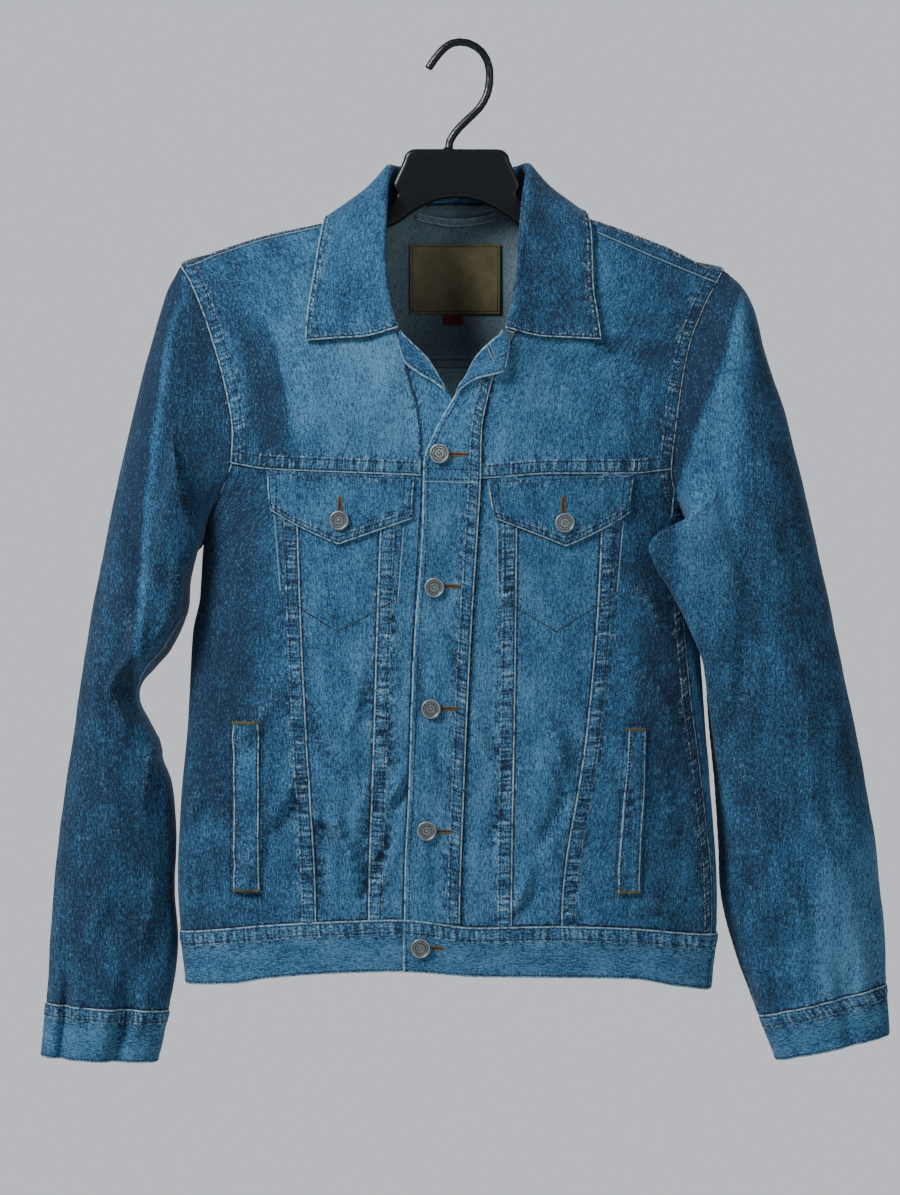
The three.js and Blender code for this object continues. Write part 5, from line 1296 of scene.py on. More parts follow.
# %% Stations round the neck
COLLAR = [
    # x and z of the neck seam, x, y and z of the fold, x and z of the free edge, side
    (-54.5, -247.5, -53, -48, -246.5, -132, -258, 1),
    (-63, -234, -57.9, -46, -231, -130, -230, 1),
    (-72, -209, -63.5, -43, -200, -125, -200, 1),
    (-77.5, -184, -64.7, -34, -166, -121.5, -177, 1),
    (-79.5, -160, -63.5, -19, -131, -117.5, -159, 1),
    (-79, -142, -60.5, 2, -105, -113, -148, -1),
    (-66, -138, -52, 24, -102, -92, -159, -1),
    (-36, -134, -32, 37, -104, -50, -172, -1),
    (-2.5, -132.5, -2.5, 41, -105, -2.5, -176, -1),
    (31, -134, 27, 37, -104, 45, -171, -1),
    (61, -137, 47, 24, -102, 84, -160, -1),
    (74, -138.5, 58, 2, -104, 106, -144, -1),
    (74, -160, 54, -19, -135, 111.5, -158, 1),
    (71, -184, 51.5, -34, -170, 113, -180, 1),
    (64, -211, 48.5, -43, -203, 113.8, -212, 1),
    (53, -237, 41.5, -46, -231, 117.5, -237, 1),
    (44, -251, 38.8, -48, -246.5, 120, -257, 1),
]
print(len(COLLAR), "stations round the neck")

# %% [markdown]
# At each station the collar's section runs from the neck seam up the stand, over the
# fold, and down the leaf to its free edge. Where the leaf would dip into the body, it
# is lifted off it.

# %% The collar's sections
COLLAR_CLEAR = 3.0  # how far the leaf stays off the body
NECK_CLEAR = 0.6  # the same at the neck seam
NECK_FLAT = 2.2  # how much more where the collar lies flat there
ROLL = 24  # a stand shorter than this lies flatter
LAST = 7  # number of the free edge in a section, which starts with 0


def off_body(point, back):
    """Keeps a point of the collar's leaf clear of the body under it."""
    under = body_point(around_at(point[0], point[2], back), point[2])
    ridge = float(ridge_at(point[0])["z"])
    near = (point[1] - under[1]) * (1 if back else -1)
    if point[2] > ridge:
        point[2] = max(point[2], ridge + COLLAR_CLEAR)
    elif near < COLLAR_CLEAR:
        point[1] = under[1] + (COLLAR_CLEAR if back else -COLLAR_CLEAR)
    return point


def body_out(x, z, back):
    """A place on the body, and the direction straight out of it."""
    around = float(around_at(x, z, back))
    step = np.array([[around - 0.01, around + 0.01]] * 2), np.array([[z + 1, z + 1], [z - 1, z - 1]])
    patch = body_point(*step)
    return body_point(around, z), unit(np.cross(patch[1, 0] - patch[0, 0], patch[0, 1] - patch[0, 0]))


def collar_section(row):
    """Eight places from the neck seam up to the fold and down to the free edge."""
    seam_x, seam_z, fold_x, fold_y, fold_z, edge_x, edge_z, side = row
    back = side < 0
    fold = np.array([fold_x, fold_y, fold_z], float)
    seam, seam_out = body_out(seam_x, seam_z, back)
    edge, edge_out = body_out(edge_x, edge_z, back)
    flat = np.clip(1 - np.linalg.norm(fold - seam) / ROLL, 0, 1)
    foot = seam + seam_out * (NECK_CLEAR + NECK_FLAT * flat)
    hem = edge + edge_out * COLLAR_CLEAR
    out = unit((hem - fold) * [1, 1, 0])
    wide = min(3.2, 1.4 + np.linalg.norm(fold - foot) * 0.12)
    inner = fold - [0, 0, wide]
    outer = fold + out * wide * 1.6 - [0, 0, wide * 0.8]
    leaf = lambda share, sag: off_body(mix(outer, hem, share) - [0, 0, sag], back)
    stand = [foot, mix(foot, inner, 0.5), inner, fold + out * wide * 0.7]
    return stand + [off_body(outer.copy(), back), leaf(0.3, 3), leaf(0.65, 1.5), off_body(hem, back)]


sections = np.array([collar_section(row) for row in COLLAR])
print("each section has", sections.shape[1], "places")

# %% [markdown]
# The sections are joined by a Catmull-Rom curve, which passes through every place that
# it is given. It is used twice: round the neck from station to station, and then along
# the section that this makes.

# %% Collar
def catmull(before, start, end, after, t):
    """A smooth curve from start to end, led by the places before and after them."""
    return 0.5 * (
        2 * start + (end - before) * t + (2 * before - 5 * start + 4 * end - after) * t**2
        + (3 * start - before - 3 * end + after) * t**3
    )


def spline(data, at):
    """Such a curve through data's first axis."""
    at = np.asarray(at, float)
    last = len(data) - 1
    low = np.clip(np.floor(at).astype(int), 0, last - 1)
    t = (at - low).reshape(at.shape + (1,) * (data.ndim - 1))
    return catmull(*(data[np.clip(low + k, 0, last)] for k in (-1, 0, 1, 2)), t)


def collar_place(u, v):
    flat_u, flat_v = u.ravel() * (len(COLLAR) - 1), v.ravel() * LAST
    rows = spline(sections, flat_u)
    low = np.clip(np.floor(flat_v).astype(int), 0, LAST - 1)
    numbers = np.arange(len(low))
    four = (rows[numbers, np.clip(low + k, 0, LAST)] for k in (-1, 0, 1, 2))
    return catmull(*four, (flat_v - low)[:, None]).reshape(u.shape + (3,))


COLLAR_BANDS = {"bottom": (5, 0.2, 1.8), "left": (4, 0.2, 1.8), "right": (4, 0.2, 1.8)}
# the collar's right half is painted darker, as painted shade
lay_cloth("collar_cloth", "collar", collar_place, COLLAR_BANDS, hand=-1, base=1.5, thick=0.9,
          free=("left", "right", "bottom"), cell=2.2, soft=0.4, grain="along",
          wash=lambda points: 0.5 - 0.14 * ramp(points[..., 0], 0, 40))

# %% [markdown]
# A sleeve is two pieces, joined by a seam that runs down behind and one in front. Each
# section is an oval between the sleeve's outline on both sides. The large folds that
# hang at the elbow swing the oval's front, and the cloth waves where the cuff gathers
# it. The left sleeve's front seam turns out of sight behind its long fold.

# %% The sleeves' sections
LEFT_SLEEVE = np.array([
    # outer x and z, inner x and z, depth in front, depth behind, middle
    (-252.8, -213.1, -226, -436, 44, 42, 0),
    (-263.2, -248.5, -227.5, -441, 46, 45, 0),
    (-278.7, -306.3, -229, -449, 47, 47, 0),
    (-296, -382.2, -231, -463, 47, 48, 0),
    (-311.5, -458.1, -233.5, -489, 45, 48, 1),
    (-321.8, -512.5, -250, -522, 42, 47, 3),
    (-328, -553, -277, -556, 36, 44, 6),
    (-334.8, -599.2, -263.2, -594.5, 36, 42, 8),
    (-341.5, -641, -249.5, -636.3, 37, 41, 10),
    (-347.7, -685.9, -245.5, -682, 37, 39, 11),
    (-352, -731, -246.5, -733, 34, 36, 11),
    (-354.8, -778, -244.5, -783, 29, 31, 9),
    (-357.2, -824.8, -251.9, -831.7, 25, 26, 6),
    (-361.5, -871.4, -262, -876.5, 23, 24, 4),
])
RIGHT_SLEEVE = np.array([
    (242.4, -206.6, 206, -436, 44, 42, 0),
    (253, -226, 207, -440, 46, 45, 0),
    (264, -268.3, 208, -446, 48, 47, 0),
    (282.1, -324.4, 209.5, -456, 49, 48, 0),
    (299.4, -395.2, 210.5, -474, 49, 48, 0),
    (316, -470, 211.5, -502, 48, 48, 1),
    (328, -526, 213, -536, 46, 47, 3),
    (341, -587, 215.5, -580, 43, 45, 6),
    (350.5, -637, 220.5, -630, 41, 42, 8),
    (358.5, -684, 224, -680, 38, 39, 9),
    (364.5, -735, 227, -735, 34, 35, 9),
    (367.8, -776, 240, -785, 29, 30, 8),
    (368.4, -809.3, 258.8, -836, 25, 26, 6),
    (370.1, -853.3, 273.5, -875, 23, 24, 4),
])
CUFF_ROW = 14  # number of the cuff's open end in a table; the armhole is 0
SLEEVE_END = 13  # number of the row where the cuff is sewn on
LEFT_LOBE = [(0, 0, 0), (1, 8, 4), (3, 4, 6), (5, 0, 6), (7, 0, 0), (14, 0, 0)]
RIGHT_LOBE = [
    (0, 0, 0), (0.5, 4, 19), (1, 28, 29), (2, 46, 31), (3, 52, 32), (4, 50, 30), (5, 38, 25),
    (6, 24, 17), (7, 11, 10), (8, 7, 6), (10, 0, 0), (14, 0, 0),
]
CUFF_WAVES = [
    # share of the way over the front, how far the cloth stands forward
    (0, 0), (0.1, 3), (0.18, -5), (0.27, 5), (0.5, 6), (0.56, 5), (0.64, -6), (0.8, 0), (1, 0),
]
print(len(LEFT_SLEEVE), "sections on each sleeve")

# %% [markdown]
# The sections are joined smoothly from the armhole to the cuff. The elbow's folds swing
# the front of the oval forwards and sideways, most at one angle and less on both sides
# of it. Short waves lift the cloth above the cuff.

# %% Points of a sleeve
left_lobe_at = curves(("row", "across", "forward"), LEFT_LOBE)
right_lobe_at = curves(("row", "across", "forward"), RIGHT_LOBE)
waves_at = curves(("share", "lift"), CUFF_WAVES)
BACK_SEAM = -62  # degrees, from the outer side forwards
FOLD_AT = 150  # where the elbow's folds swing the oval most


def sleeve_folds(left, row, degrees):
    """What the folds at the elbow and above the cuff add to a sleeve's points."""
    lobe = (left_lobe_at if left else right_lobe_at)(row)
    away = degrees - FOLD_AT
    x = (1 if left else -1) * lobe["across"] * bump(away / 26)
    forward = lobe["forward"] * bump(away / 42)
    if left:
        end = mix(7, 5.3, np.clip((degrees - 96) / 84, 0, 1))
        lifted = ramp(row, 0.6, 2.1) * (1 - ramp(row, end - 0.45, end + 0.45))
        forward = forward + 10 * lifted * ramp(degrees, 84, 108) * (1 - ramp(degrees, 150, 185))
    near_cuff = ramp(row, SLEEVE_END - 1.5, SLEEVE_END + 0.2)
    share = (1 - np.cos(np.radians(degrees))) / 2
    wave = waves_at(share if left else 1 - share)["lift"] * near_cuff * (1 if left else 0.5)
    forward = forward + np.where((degrees > 0) & (degrees < 180), wave, 0)
    return np.stack([x, -forward, 0 * x], -1)


def sleeve_point(left, row, degrees):
    """Points of a sleeve: row 0 is the armhole, degrees run from its outer side forwards."""
    table = LEFT_SLEEVE if left else RIGHT_SLEEVE
    row, degrees = np.broadcast_arrays(np.asarray(row, float), np.asarray(degrees, float))
    turn = np.radians(degrees)
    sine, cosine = np.sin(turn), np.cos(turn)
    back = sine < 0
    half = (1 + cosine) / 2
    tip = float(ridge_at(BODY[0][1] if left else BODY[0][2])["z"])
    rim = (-1 if left else 1) * np.where(back, BEHIND_RIGHT, 1)
    armhole = body_point(rim, mix(UNDERARM, tip, half))

    def ring(number):
        number = np.clip(number, 0, CUFF_ROW)
        row_values = np.moveaxis(table[np.maximum(number, 1) - 1], -1, 0)
        outer_x, outer_z, inner_x, inner_z, front, behind, middle = row_values
        deep = np.abs(sine) ** 0.85 * np.where(back, behind, front)
        y = middle + np.where(back, deep, -deep)
        oval = np.stack([mix(inner_x, outer_x, half), y, mix(inner_z, outer_z, half)], -1)
        return np.where((number <= 0)[..., None], armhole, oval)

    at = np.clip(row, 0, CUFF_ROW)
    low = np.minimum(np.floor(at).astype(int), CUFF_ROW - 1)
    before, start, end, after = ring(low - 1), ring(low), ring(low + 1), ring(low + 2)
    t = (at - low)[..., None]
    point = start + (end - start) * t * t * (3 - 2 * t)
    point = point + (end - before) * 0.5 * t * (1 - t) ** 2 - (after - start) * 0.5 * t * t * (1 - t)
    return point + sleeve_folds(left, at, degrees)


elbow = sleeve_point(True, 6, [90, -90])[:, 1]
print("the left sleeve is", round(float(elbow[1] - elbow[0])), "mm deep at its elbow")

# %% [markdown]
# The upper piece takes the front of a sleeve and the under piece its back. Both are laid
# round the same sections from seam to seam, and the cuff goes round all of them.

# %% Sleeves and cuffs
def make_sleeve(left):
    side = "left" if left else "right"
    seam = [180, 162, 150] if left else [182, 186, 188]
    seam_at = lambda row: np.interp(row / SLEEVE_END, [0, 0.4, 1], seam)

    def between(start, end):
        def place(u, v):
            row = v * SLEEVE_END
            return sleeve_point(left, row, mix(start(row), end(row), u))

        return place

    upper = between(lambda row: BACK_SEAM, seam_at)
    under = between(seam_at, lambda row: BACK_SEAM + 360)
    cuff = lambda u, v: sleeve_point(left, mix(SLEEVE_END, CUFF_ROW, v), mix(-70, 290, u))
    front_band = {"right": (10, 0.7, 0.9)}
    more = {"hand": 1 if left else -1, "side": "sleeve_" + side, "edge_gap": 0.15}
    pieces = [
        # name, place, bands, cell
        ("sleeve_upper_" + side, upper, {} if left else front_band, 3.9),
        ("sleeve_under_" + side, under, front_band, 4.2),
    ]
    for name, place, bands, cell in pieces:
        lay_cloth(name + "_cloth", name, place, bands, ("top", "bottom"), cell=cell,
                  wash=sleeve_wash, grain="even", thick=1.1, **more)
    lay_cloth(f"cuff_{side}_cloth", f"cuff_{side}", cuff, {"top": (12, 0.4, 1.2)}, base=0.8,
              free=("bottom",), cell=2.4, wash=0.58, grain="along", thick=1.8, **more)


make_sleeve(True)
make_sleeve(False)

# %% [markdown]
# The leather patch, the small tab and the hanging loop sit inside the back of the
# neck, so they are laid on the back's inner side. The patch is thick and hardly bends.
# The loop is sewn on at both ends, and stands off the cloth between them.

# %% Neck trims
def make_leather():
    dark, light = colour(86, 80, 54), colour(118, 110, 76)
    shader, place, stain, base = mottled(
        "patch_leather", (60, 60, 60), dark, light, 4.0, 0.6, (0.3, 0.7)
    )
    grain = shader.node("TexVoronoi", None, Vector=place, Scale=1400.0).outputs[0]
    return shader.finish(base, 0.48, shader.sums("ADD", grain, stain), 0.3, 0.0003)


def make_tab():
    dark, light = colour(86, 14, 22), colour(128, 26, 34)
    shader, place, weave, base = mottled("tab_red", (2500, 2500, 900), dark, light)
    return shader.finish(base, 0.8, weave, 0.4, 0.0002)


def inner_strip(left, right, top, bottom):
    """An upright rectangle on the inside of the back."""
    sides = lambda x: down_line([(x, top), (x, bottom)], True)
    return across(sides(right), sides(left))


def loop_place(u, v):
    x = mix(32, -38, u)
    z = -140 - 5 * (1 - (2 * u - 1) ** 2) - v * 7
    return body_point(around_at(x, z, True), z)


trim = {"soft": 0.2, "edge_gap": 0.1}
patch_place = inner_strip(-44, 35.5, -167, -227)
tab_place = inner_strip(-14.5, 2.5, -228, -236)
loop_base = lambda u, v: -CLOTH - 0.4 - 3 * np.sin(math.pi * u)
lay_cloth("neck_patch_leather", "neck_patch", patch_place, base=-CLOTH - 1.3, thick=1.1,
          slot="patch_leather", materials=[make_leather()], cell=2.5, **trim)
lay_cloth("neck_tab_weave", "neck_tab", tab_place, base=-CLOTH - 1.2, thick=0.9,
          slot="tab_red", materials=[make_tab()], cell=1.2, **trim)
lay_cloth("hanging_loop_cloth", "hanging_loop", loop_place, base=loop_base, thick=1.3,
          free=("top", "bottom"), cell=1.5, wash=0.6, **trim)

# %% [markdown]
# The thread is thicker than the cloth's yarns and a colour of its own. Navy thread holds
# the seams, copper the buttonholes and golden the bars that end a pocket. The faded
# threads stand for the pale worn edge of a fold that the stitches run along.

# %% Thread
def make_thread(name, dark, light):
    shader, place, fibre, base = mottled(name, (2600, 2600, 2600), dark, light)
    return shader.finish(base, 0.75, fibre, 0.3, 0.0002)


THREADS = {
    "navy": make_thread("thread_navy", colour(10, 16, 32), colour(26, 38, 62)),
    "copper": make_thread("thread_copper", colour(96, 72, 38), colour(152, 116, 66)),
    "golden": make_thread("thread_golden", colour(70, 68, 44), colour(112, 108, 72)),
    "brown": make_thread("thread_brown", colour(30, 26, 16), colour(52, 46, 30)),
    "faded": make_thread("thread_faded", colour(96, 140, 164), colour(140, 176, 192)),
}
print(len(THREADS), "threads spun")

# %% [markdown]
# Every seam is sewn in two rows on a felled band and in one along a turned edge. A
# stitch is a small long bead, sunk halfway into the groove that the thread pulls.
# Thousands of beads are joined into a few pieces, which is far quicker than thousands
# of objects. A row beside an edge comes from the piece's own grid, and any other line
# is dropped straight onto the cloth.

# %% Lines to sew along
PITCH = 3.3
STITCH = 2.7
THREAD_WIDE = 1.0
THREAD_HIGH = 0.7
FADED = {"thread": "faded", "pitch": 1.8}
WORN_EDGE = {**FADED, "long": 2.6}

bpy.ops.object.select_all(action="DESELECT")
bpy.ops.mesh.primitive_uv_sphere_add(segments=5, ring_count=4, radius=0.5)
bead = bpy.context.object
bead_points = np.array([tuple(v.co)[::-1] for v in bead.data.vertices])
turned = [tuple(face.vertices)[::-1] for face in bead.data.polygons]
lowest = [face.index(min(face)) for face in turned]
# Blender lists a new ball's faces in another order from run to run, so they are sorted.
bead_faces = sorted(face[start:] + face[:start] for face, start in zip(turned, lowest))
bpy.ops.object.delete()
stitches = {}


def beside(name, edge, inset, rise=0.0):
    """A line on a piece, at a distance from one of its edges."""
    grid = grids[name]
    points, out, reach = grid["points"], grid["out"], grid["reach"][edge]
    if grid["hand"] < 0:
        edge = {"left": "right", "right": "left"}.get(edge, edge)
    if edge in ("top", "bottom"):
        points, out, reach = points.transpose(1, 0, 2), out.transpose(1, 0, 2), reach.T
    if edge in ("right", "bottom"):
        points, out, reach = points[:, ::-1], out[:, ::-1], reach[:, ::-1]
    find = lambda data: np.array(
        [[np.interp(inset, reach[row], data[row, :, k]) for k in range(3)] for row in range(len(data))]
    )
    line, normal = find(points), find(out)
    return line + rise * normal, normal

def dropped(places, *names, closed=False):
    """A line through x and z places, dropped onto the front of some pieces."""
    places = np.array(places + places[:1] if closed else places, float)
    steps = np.linalg.norm(np.diff(places, axis=0), axis=1)
    at = np.concatenate([[0], np.cumsum(steps)])
    even = np.arange(0, at[-1], 1.0)
    line, normal = [], []
    for x, z in zip(np.interp(even, at, places[:, 0]), np.interp(even, at, places[:, 1])):
        start = Vector((x * MM, -0.3, z * MM))
        hits = [trees[name].ray_cast(start, Vector((0, 1, 0)), 0.5) for name in names]
        hits = [hit for hit in hits if hit[0] is not None]
        if hits:
            nearest = min(hits, key=lambda hit: hit[0].y)
            line.append(np.array(nearest[0]) / MM)
            normal.append(np.array(nearest[1]))
    return np.array(line), np.array(normal)


depsgraph = bpy.context.evaluated_depsgraph_get()
trees = {name: BVHTree.FromObject(grid["piece"], depsgraph) for name, grid in grids.items()}
print("lines can be dropped on", len(trees), "pieces")

# %% [markdown]
# A bead is turned so that its length runs with the line and its height stands out of
# the cloth. In a buttonhole's row it lies across the line instead. Each stitch is a
# little longer or shorter than the next, because the cloth moves under the needle.

# %% Sewing a row
def sew(group, line, normal, thread="navy", pitch=PITCH, long=STITCH, wide=THREAD_WIDE,
        high=THREAD_HIGH, skip=2.0, turn=False, sink=0.1):
    """Stitches along a line, or across it when turned."""
    if len(line) < 3:
        return
    at = np.concatenate([[0], np.cumsum(np.linalg.norm(np.diff(line, axis=0), axis=1))])
    middle = np.arange(skip + pitch / 2, at[-1] - skip, pitch)
    read = lambda where, data: np.stack([np.interp(where, at, data[:, k]) for k in range(3)], -1)
    forward = read(middle + 1, line) - read(middle - 1, line)
    out = unit(read(middle, normal))
    side = unit(np.cross(out, forward))
    forward = np.cross(side, out)
    if turn:
        forward, side = side, forward
    size = random.uniform(0.9, 1.1, (len(middle), 1, 1))
    axes = np.stack([forward * long, side * wide, out * high], 1) * size
    points = (read(middle, line) + out * sink)[:, None] + bead_points @ axes
    stitches.setdefault((group, thread), []).append(points)


def group_of(name):
    """The part of the jacket that a piece's stitches are joined with."""
    if name.startswith(("sleeve", "cuff")):
        return "sleeve_left" if "left" in name else "sleeve_right"
    return "back" if "back" in name else "front"


print("a bead has", len(bead_faces), "faces")

# %% [markdown]
# The rows that follow an edge come first: two on each wide band, one on each narrow
# one, and one or two beside the free edges. The inside of the back shows a felled seam
# through the open neck, which is sewn here as four rows, two of them worn pale. The
# patch is held by one row all round.

# %% Rows along the edges
for name, grid in grids.items():
    for edge, (band, rise, power) in grid["bands"].items():
        for inset in ([2.0, band - 2.0] if band > 6 else [2.0]):
            sew(group_of(name), *beside(name, edge, inset))


FREE_EDGES = [
    # piece, edge, distances of its rows from the edge
    ("flap_left", "left", (2, 8)), ("flap_left", "right", (2, 8)),
    ("flap_right", "left", (2, 8)), ("flap_right", "right", (2, 8)),
    ("placket_right", "left", (4.2,)), ("lapel_left", "left", (3,)), ("lapel_right", "right", (3,)),
    ("waistband_left", "bottom", (2.4,)), ("waistband_right", "bottom", (2.4,)),
    ("waistband_right", "left", (3,)), ("waistband_back", "bottom", (2.4,)),
    ("cuff_left", "bottom", (2.4,)), ("cuff_right", "bottom", (2.4,)),
]
for name, edge, insets in FREE_EDGES:
    for inset in insets:
        sew(group_of(name), *beside(name + "_cloth", edge, inset))

for z, look in ((-265, FADED), (-267.5, {}), (-274, {}), (-276.5, FADED)):
    x = np.linspace(-60, 50, 111)
    inside = body_point(around_at(x, z, True), z) - [0, CLOTH + 0.5, 0]
    sew("back", inside, np.tile([0.0, -1.0, 0.0], (len(x), 1)), **look)
neck_row = [(-34, -134.5), (-2, -133.5), (33, -134.5)]
sew("neck", *dropped(neck_row, "collar_cloth", "back_yoke_cloth"))
for edge in EDGES:
    row = beside("neck_patch_leather", edge, 2.0, -1.25)
    sew("neck", *row, "brown", pitch=2.4, long=1.8)
print(sum(len(rows) for rows in stitches.values()), "rows sewn along edges")

# %% [markdown]
# A chest pocket's lining is sewn through the front, so its outline shows below the
# flap: dark at its pointed foot, and with a worn edge and two rows up each side. The
# side pockets have a frame of stitches round their welts, and short golden bars that
# keep both ends from tearing.

# %% Pockets and welts
PANELS = [
    name for name in grids
    if name.startswith(("front_side", "front_middle", "front_centre", "placket"))
]
POCKETS = [
    # x and z along a pocket's outline, from one end of its flap to the other
    [(-158.2, -404), (-152.7, -472.8), (-130.6, -488.6), (-104.4, -504.7), (-76.6, -489.8),
     (-52.5, -476.7), (-47.7, -415)],
    [(31.4, -412), (32.2, -476.2), (53.5, -488.1), (81.8, -504.9), (109.6, -487.3),
     (133.4, -472.8), (139.3, -409)],
]


def moved_left(places, amount):
    """A line moved sideways, to its left as it runs."""
    places = np.array(places, float)
    forward = unit(np.gradient(places, axis=0))
    moved = places + amount * np.stack([-forward[:, 1], forward[:, 0]], -1)
    return [tuple(place) for place in moved.tolist()]


for pocket in POCKETS:
    foot = dropped(pocket[1:-1], *PANELS)
    sew("front", *foot, "brown", pitch=2.4, long=2.2, wide=1.2, high=0.6, skip=0)
    for upright in (pocket[:2], pocket[-2:]):
        sew("front", *dropped(upright, *PANELS), **WORN_EDGE, wide=1.1, high=0.5, sink=0)
        for amount in (1.8, 6.5):
            sew("front", *dropped(moved_left(upright, amount), *PANELS))
for name, (left, right) in WELTS.items():
    (lx, top), (lx2, bottom) = left
    (rx, _), (rx2, _) = right
    frame_line = [
        (lx - 3, top), (lx2 - 3, bottom), (lx2, bottom - 3.4), (rx2, bottom - 3.4),
        (rx2 + 3, bottom), (rx + 3, top), (rx, top + 3.4), (lx, top + 3.4),
    ]
    sew("front", *dropped(frame_line, *PANELS, closed=True))
    for x, x2 in ((lx + 2, lx2 + 2), (rx - 2.5, rx2 - 2.5)):
        sew("front", *dropped([(x, top - 4), (x2, bottom + 4)], name + "_cloth"))
    for z, ends in ((top - 1, (lx, rx)), (bottom + 1, (lx2, rx2))):
        bar = dropped([(ends[0] - 1.5, z), (ends[1] + 1.5, z)], *PANELS, name + "_cloth")
        sew("front", *bar, "golden", pitch=0.55, long=3.2, wide=0.7, turn=True, skip=0)
print(len(POCKETS), "chest pockets and", len(WELTS), "side pockets sewn")

# %% [markdown]
# Some felled seams don't end at a piece's edge on the front: the left elbow's, the
# armholes' below the chest, and both shoulders, where the back folds over to the front.
# Each is drawn as a line through x and z, with a worn pale edge and rows beside it. On
# the shoulders a flat navy row just under the pale edge is a painted shadow line. The
# yoke's seam also goes on across the upper placket.

# %% Folded edges
SLEEVE = ["sleeve_upper_left_cloth", "sleeve_under_left_cloth"]
FELLED_LINES = [
    # x and z along the folded edge, which side the stitches lie on, pieces
    ([(-237, -492), (-253.7, -519.4), (-266.6, -533.2), (-274, -544), (-277, -552)], -1, SLEEVE),
    ([(-194.8, -363), (-204.5, -386), (-216.9, -406.5), (-224.5, -428.6)], 1,
     ["front_side_left_cloth"]),
    ([(181, -371), (182.7, -384.4), (181, -407.4)], -1, ["front_side_right_cloth"]),
]
for places, side, names in FELLED_LINES:
    sew("front", *dropped(places, *names), **WORN_EDGE, wide=1.7, high=0.7, skip=0)
    for amount in (2.0, 8.5):
        sew("front", *dropped(moved_left(places, side * amount), *names))

SHOULDERS = [
    # x and z along the back's folded edge, piece, how far above it the stitches lie
    ([(-234, -191.5), (-213, -182.5), (-168, -167.5), (-121, -157)], "front_yoke_left_cloth", (1.6,)),
    ([(117, -162), (165, -183), (224, -207)], "front_yoke_right_cloth", (2.2, 8.0)),
]
for places, name, rises in SHOULDERS:
    higher = lambda rise: dropped([(x, z + rise) for x, z in places], name)
    sew("front", *higher(0), **WORN_EDGE, wide=1.3, high=0.8, skip=0)
    # a flat navy row just under the folded edge: a painted shadow line
    sew("front", *higher(-1.3), pitch=1.6, long=2.4, wide=1.1, high=0.2, sink=0, skip=0)
    for rise in rises:
        sew("front", *higher(rise))

for z, look in ((-366.5, {}), (-375, {}), (-377.5, {**FADED, "wide": 1.2})):
    sew("front", *dropped([(-30, z), (17, z - 1.5)], "placket_right_cloth"), **look, skip=0.5)
print(len(FELLED_LINES) + len(SHOULDERS), "folded edges sewn")

# %% [markdown]
# A buttonhole is two close rows of stitches across its slit, which taper towards one
# end, with a dark line between them: a row of navy beads sunk into the slit, a painted
# shadow that stands for the opening. It isn't cut through here, because the button
# covers most of it. When the last row is sewn, each group is joined.

# %% Buttonholes
BUTTONHOLES = [
    # x and z of both ends, piece
    ((-9.5, -354.6), (6.7, -354.6), "placket_right"), ((-12.4, -466.3), (1.3, -466.3), "placket_right"),
    ((-15.4, -570), (-0.1, -570), "placket_right"), ((-18.8, -674.3), (-6, -674.3), "placket_right"),
    ((-24, -773.8), (-14, -773.8), "waistband_right"), ((-102.1, -402), (-102.1, -389.5), "flap_left"),
    ((87.4, -404), (87.4, -389.5), "flap_right"), ((24, -262.5), (30, -277), "lapel_right"),
]


def join_stitches():
    """Turns each group's stitches of one thread into a piece."""
    for (group, thread), rows in stitches.items():
        points = np.concatenate(rows)
        count = len(bead_points)
        starts = range(0, len(points) * count, count)
        faces = [tuple(corner + start for corner in face) for start in starts for face in bead_faces]
        mesh = bpy.data.meshes.new(f"stitches_{group}_{thread}")
        mesh.from_pydata((points.reshape(-1, 3) * MM).tolist(), [], faces)
        mesh.materials.append(THREADS[thread])
        piece = bpy.data.objects.new(mesh.name, mesh)
        bpy.context.collection.objects.link(piece)
        bpy.ops.object.select_all(action="DESELECT")
        piece.select_set(True)
        bpy.context.view_layer.objects.active = piece
        bpy.ops.object.shade_smooth()
        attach(piece, "root")
        print(mesh.name, len(points), "stitches")


for start, end, name in BUTTONHOLES:
    name += "_cloth"
    thread = "faded" if "lapel" in name else "copper"
    start, end = np.array(start, float), np.array(end, float)
    flat = unit(end - start)
    side = np.array([-flat[1], flat[0]])
    for near, far in ((1.3, 0.5), (-1.3, -0.5)):
        line = [tuple(start + side * near), tuple(mix(start, end, 0.45) + side * near),
                tuple(end + side * far)]
        sew("front", *dropped(line, name), thread, pitch=0.75, long=1.9, wide=0.8, high=0.9,
            turn=True, skip=0)
    # navy beads sunk into the slit: a painted shadow for the uncut opening
    slit = dropped([tuple(start), tuple(end)], name)
    sew("front", *slit, pitch=0.9, long=1.8, wide=0.9, high=0.6, skip=0.4, sink=0.35)
join_stitches()

# %% [markdown]
# The buttons are stamped from sheet metal, with rings that stay dark where polish and
# wear do not reach. One profile is turned round each button's own axis, which is found
# from the solid that it stands for.

# %% Buttons
BUTTON_RINGS = [
    # distance from the middle, height, darkness
    (0, 2.9, 0.3), (0.9, 2.9, 0.2), (1.3, 2.5, 0.9), (1.7, 2.5, 0.8), (2.0, 2.9, 0.25),
    (3.9, 3.0, 0.3), (4.2, 2.6, 0.95), (4.6, 2.6, 0.9), (4.9, 3.0, 0.3), (5.9, 3.05, 0.35),
    (6.2, 2.7, 0.95), (6.5, 2.8, 0.8), (6.9, 3.4, 0.1), (7.7, 3.5, 0), (8.3, 3.0, 0.2),
    (8.5, 2.2, 0.5), (8.2, 1.2, 0.8), (7.0, 0.5, 0.9), (0, 0.4, 1),
]
BUTTON_SIDES = 36
BUTTON_HEIGHT = 3.6  # of a solid that the profile fits as it is


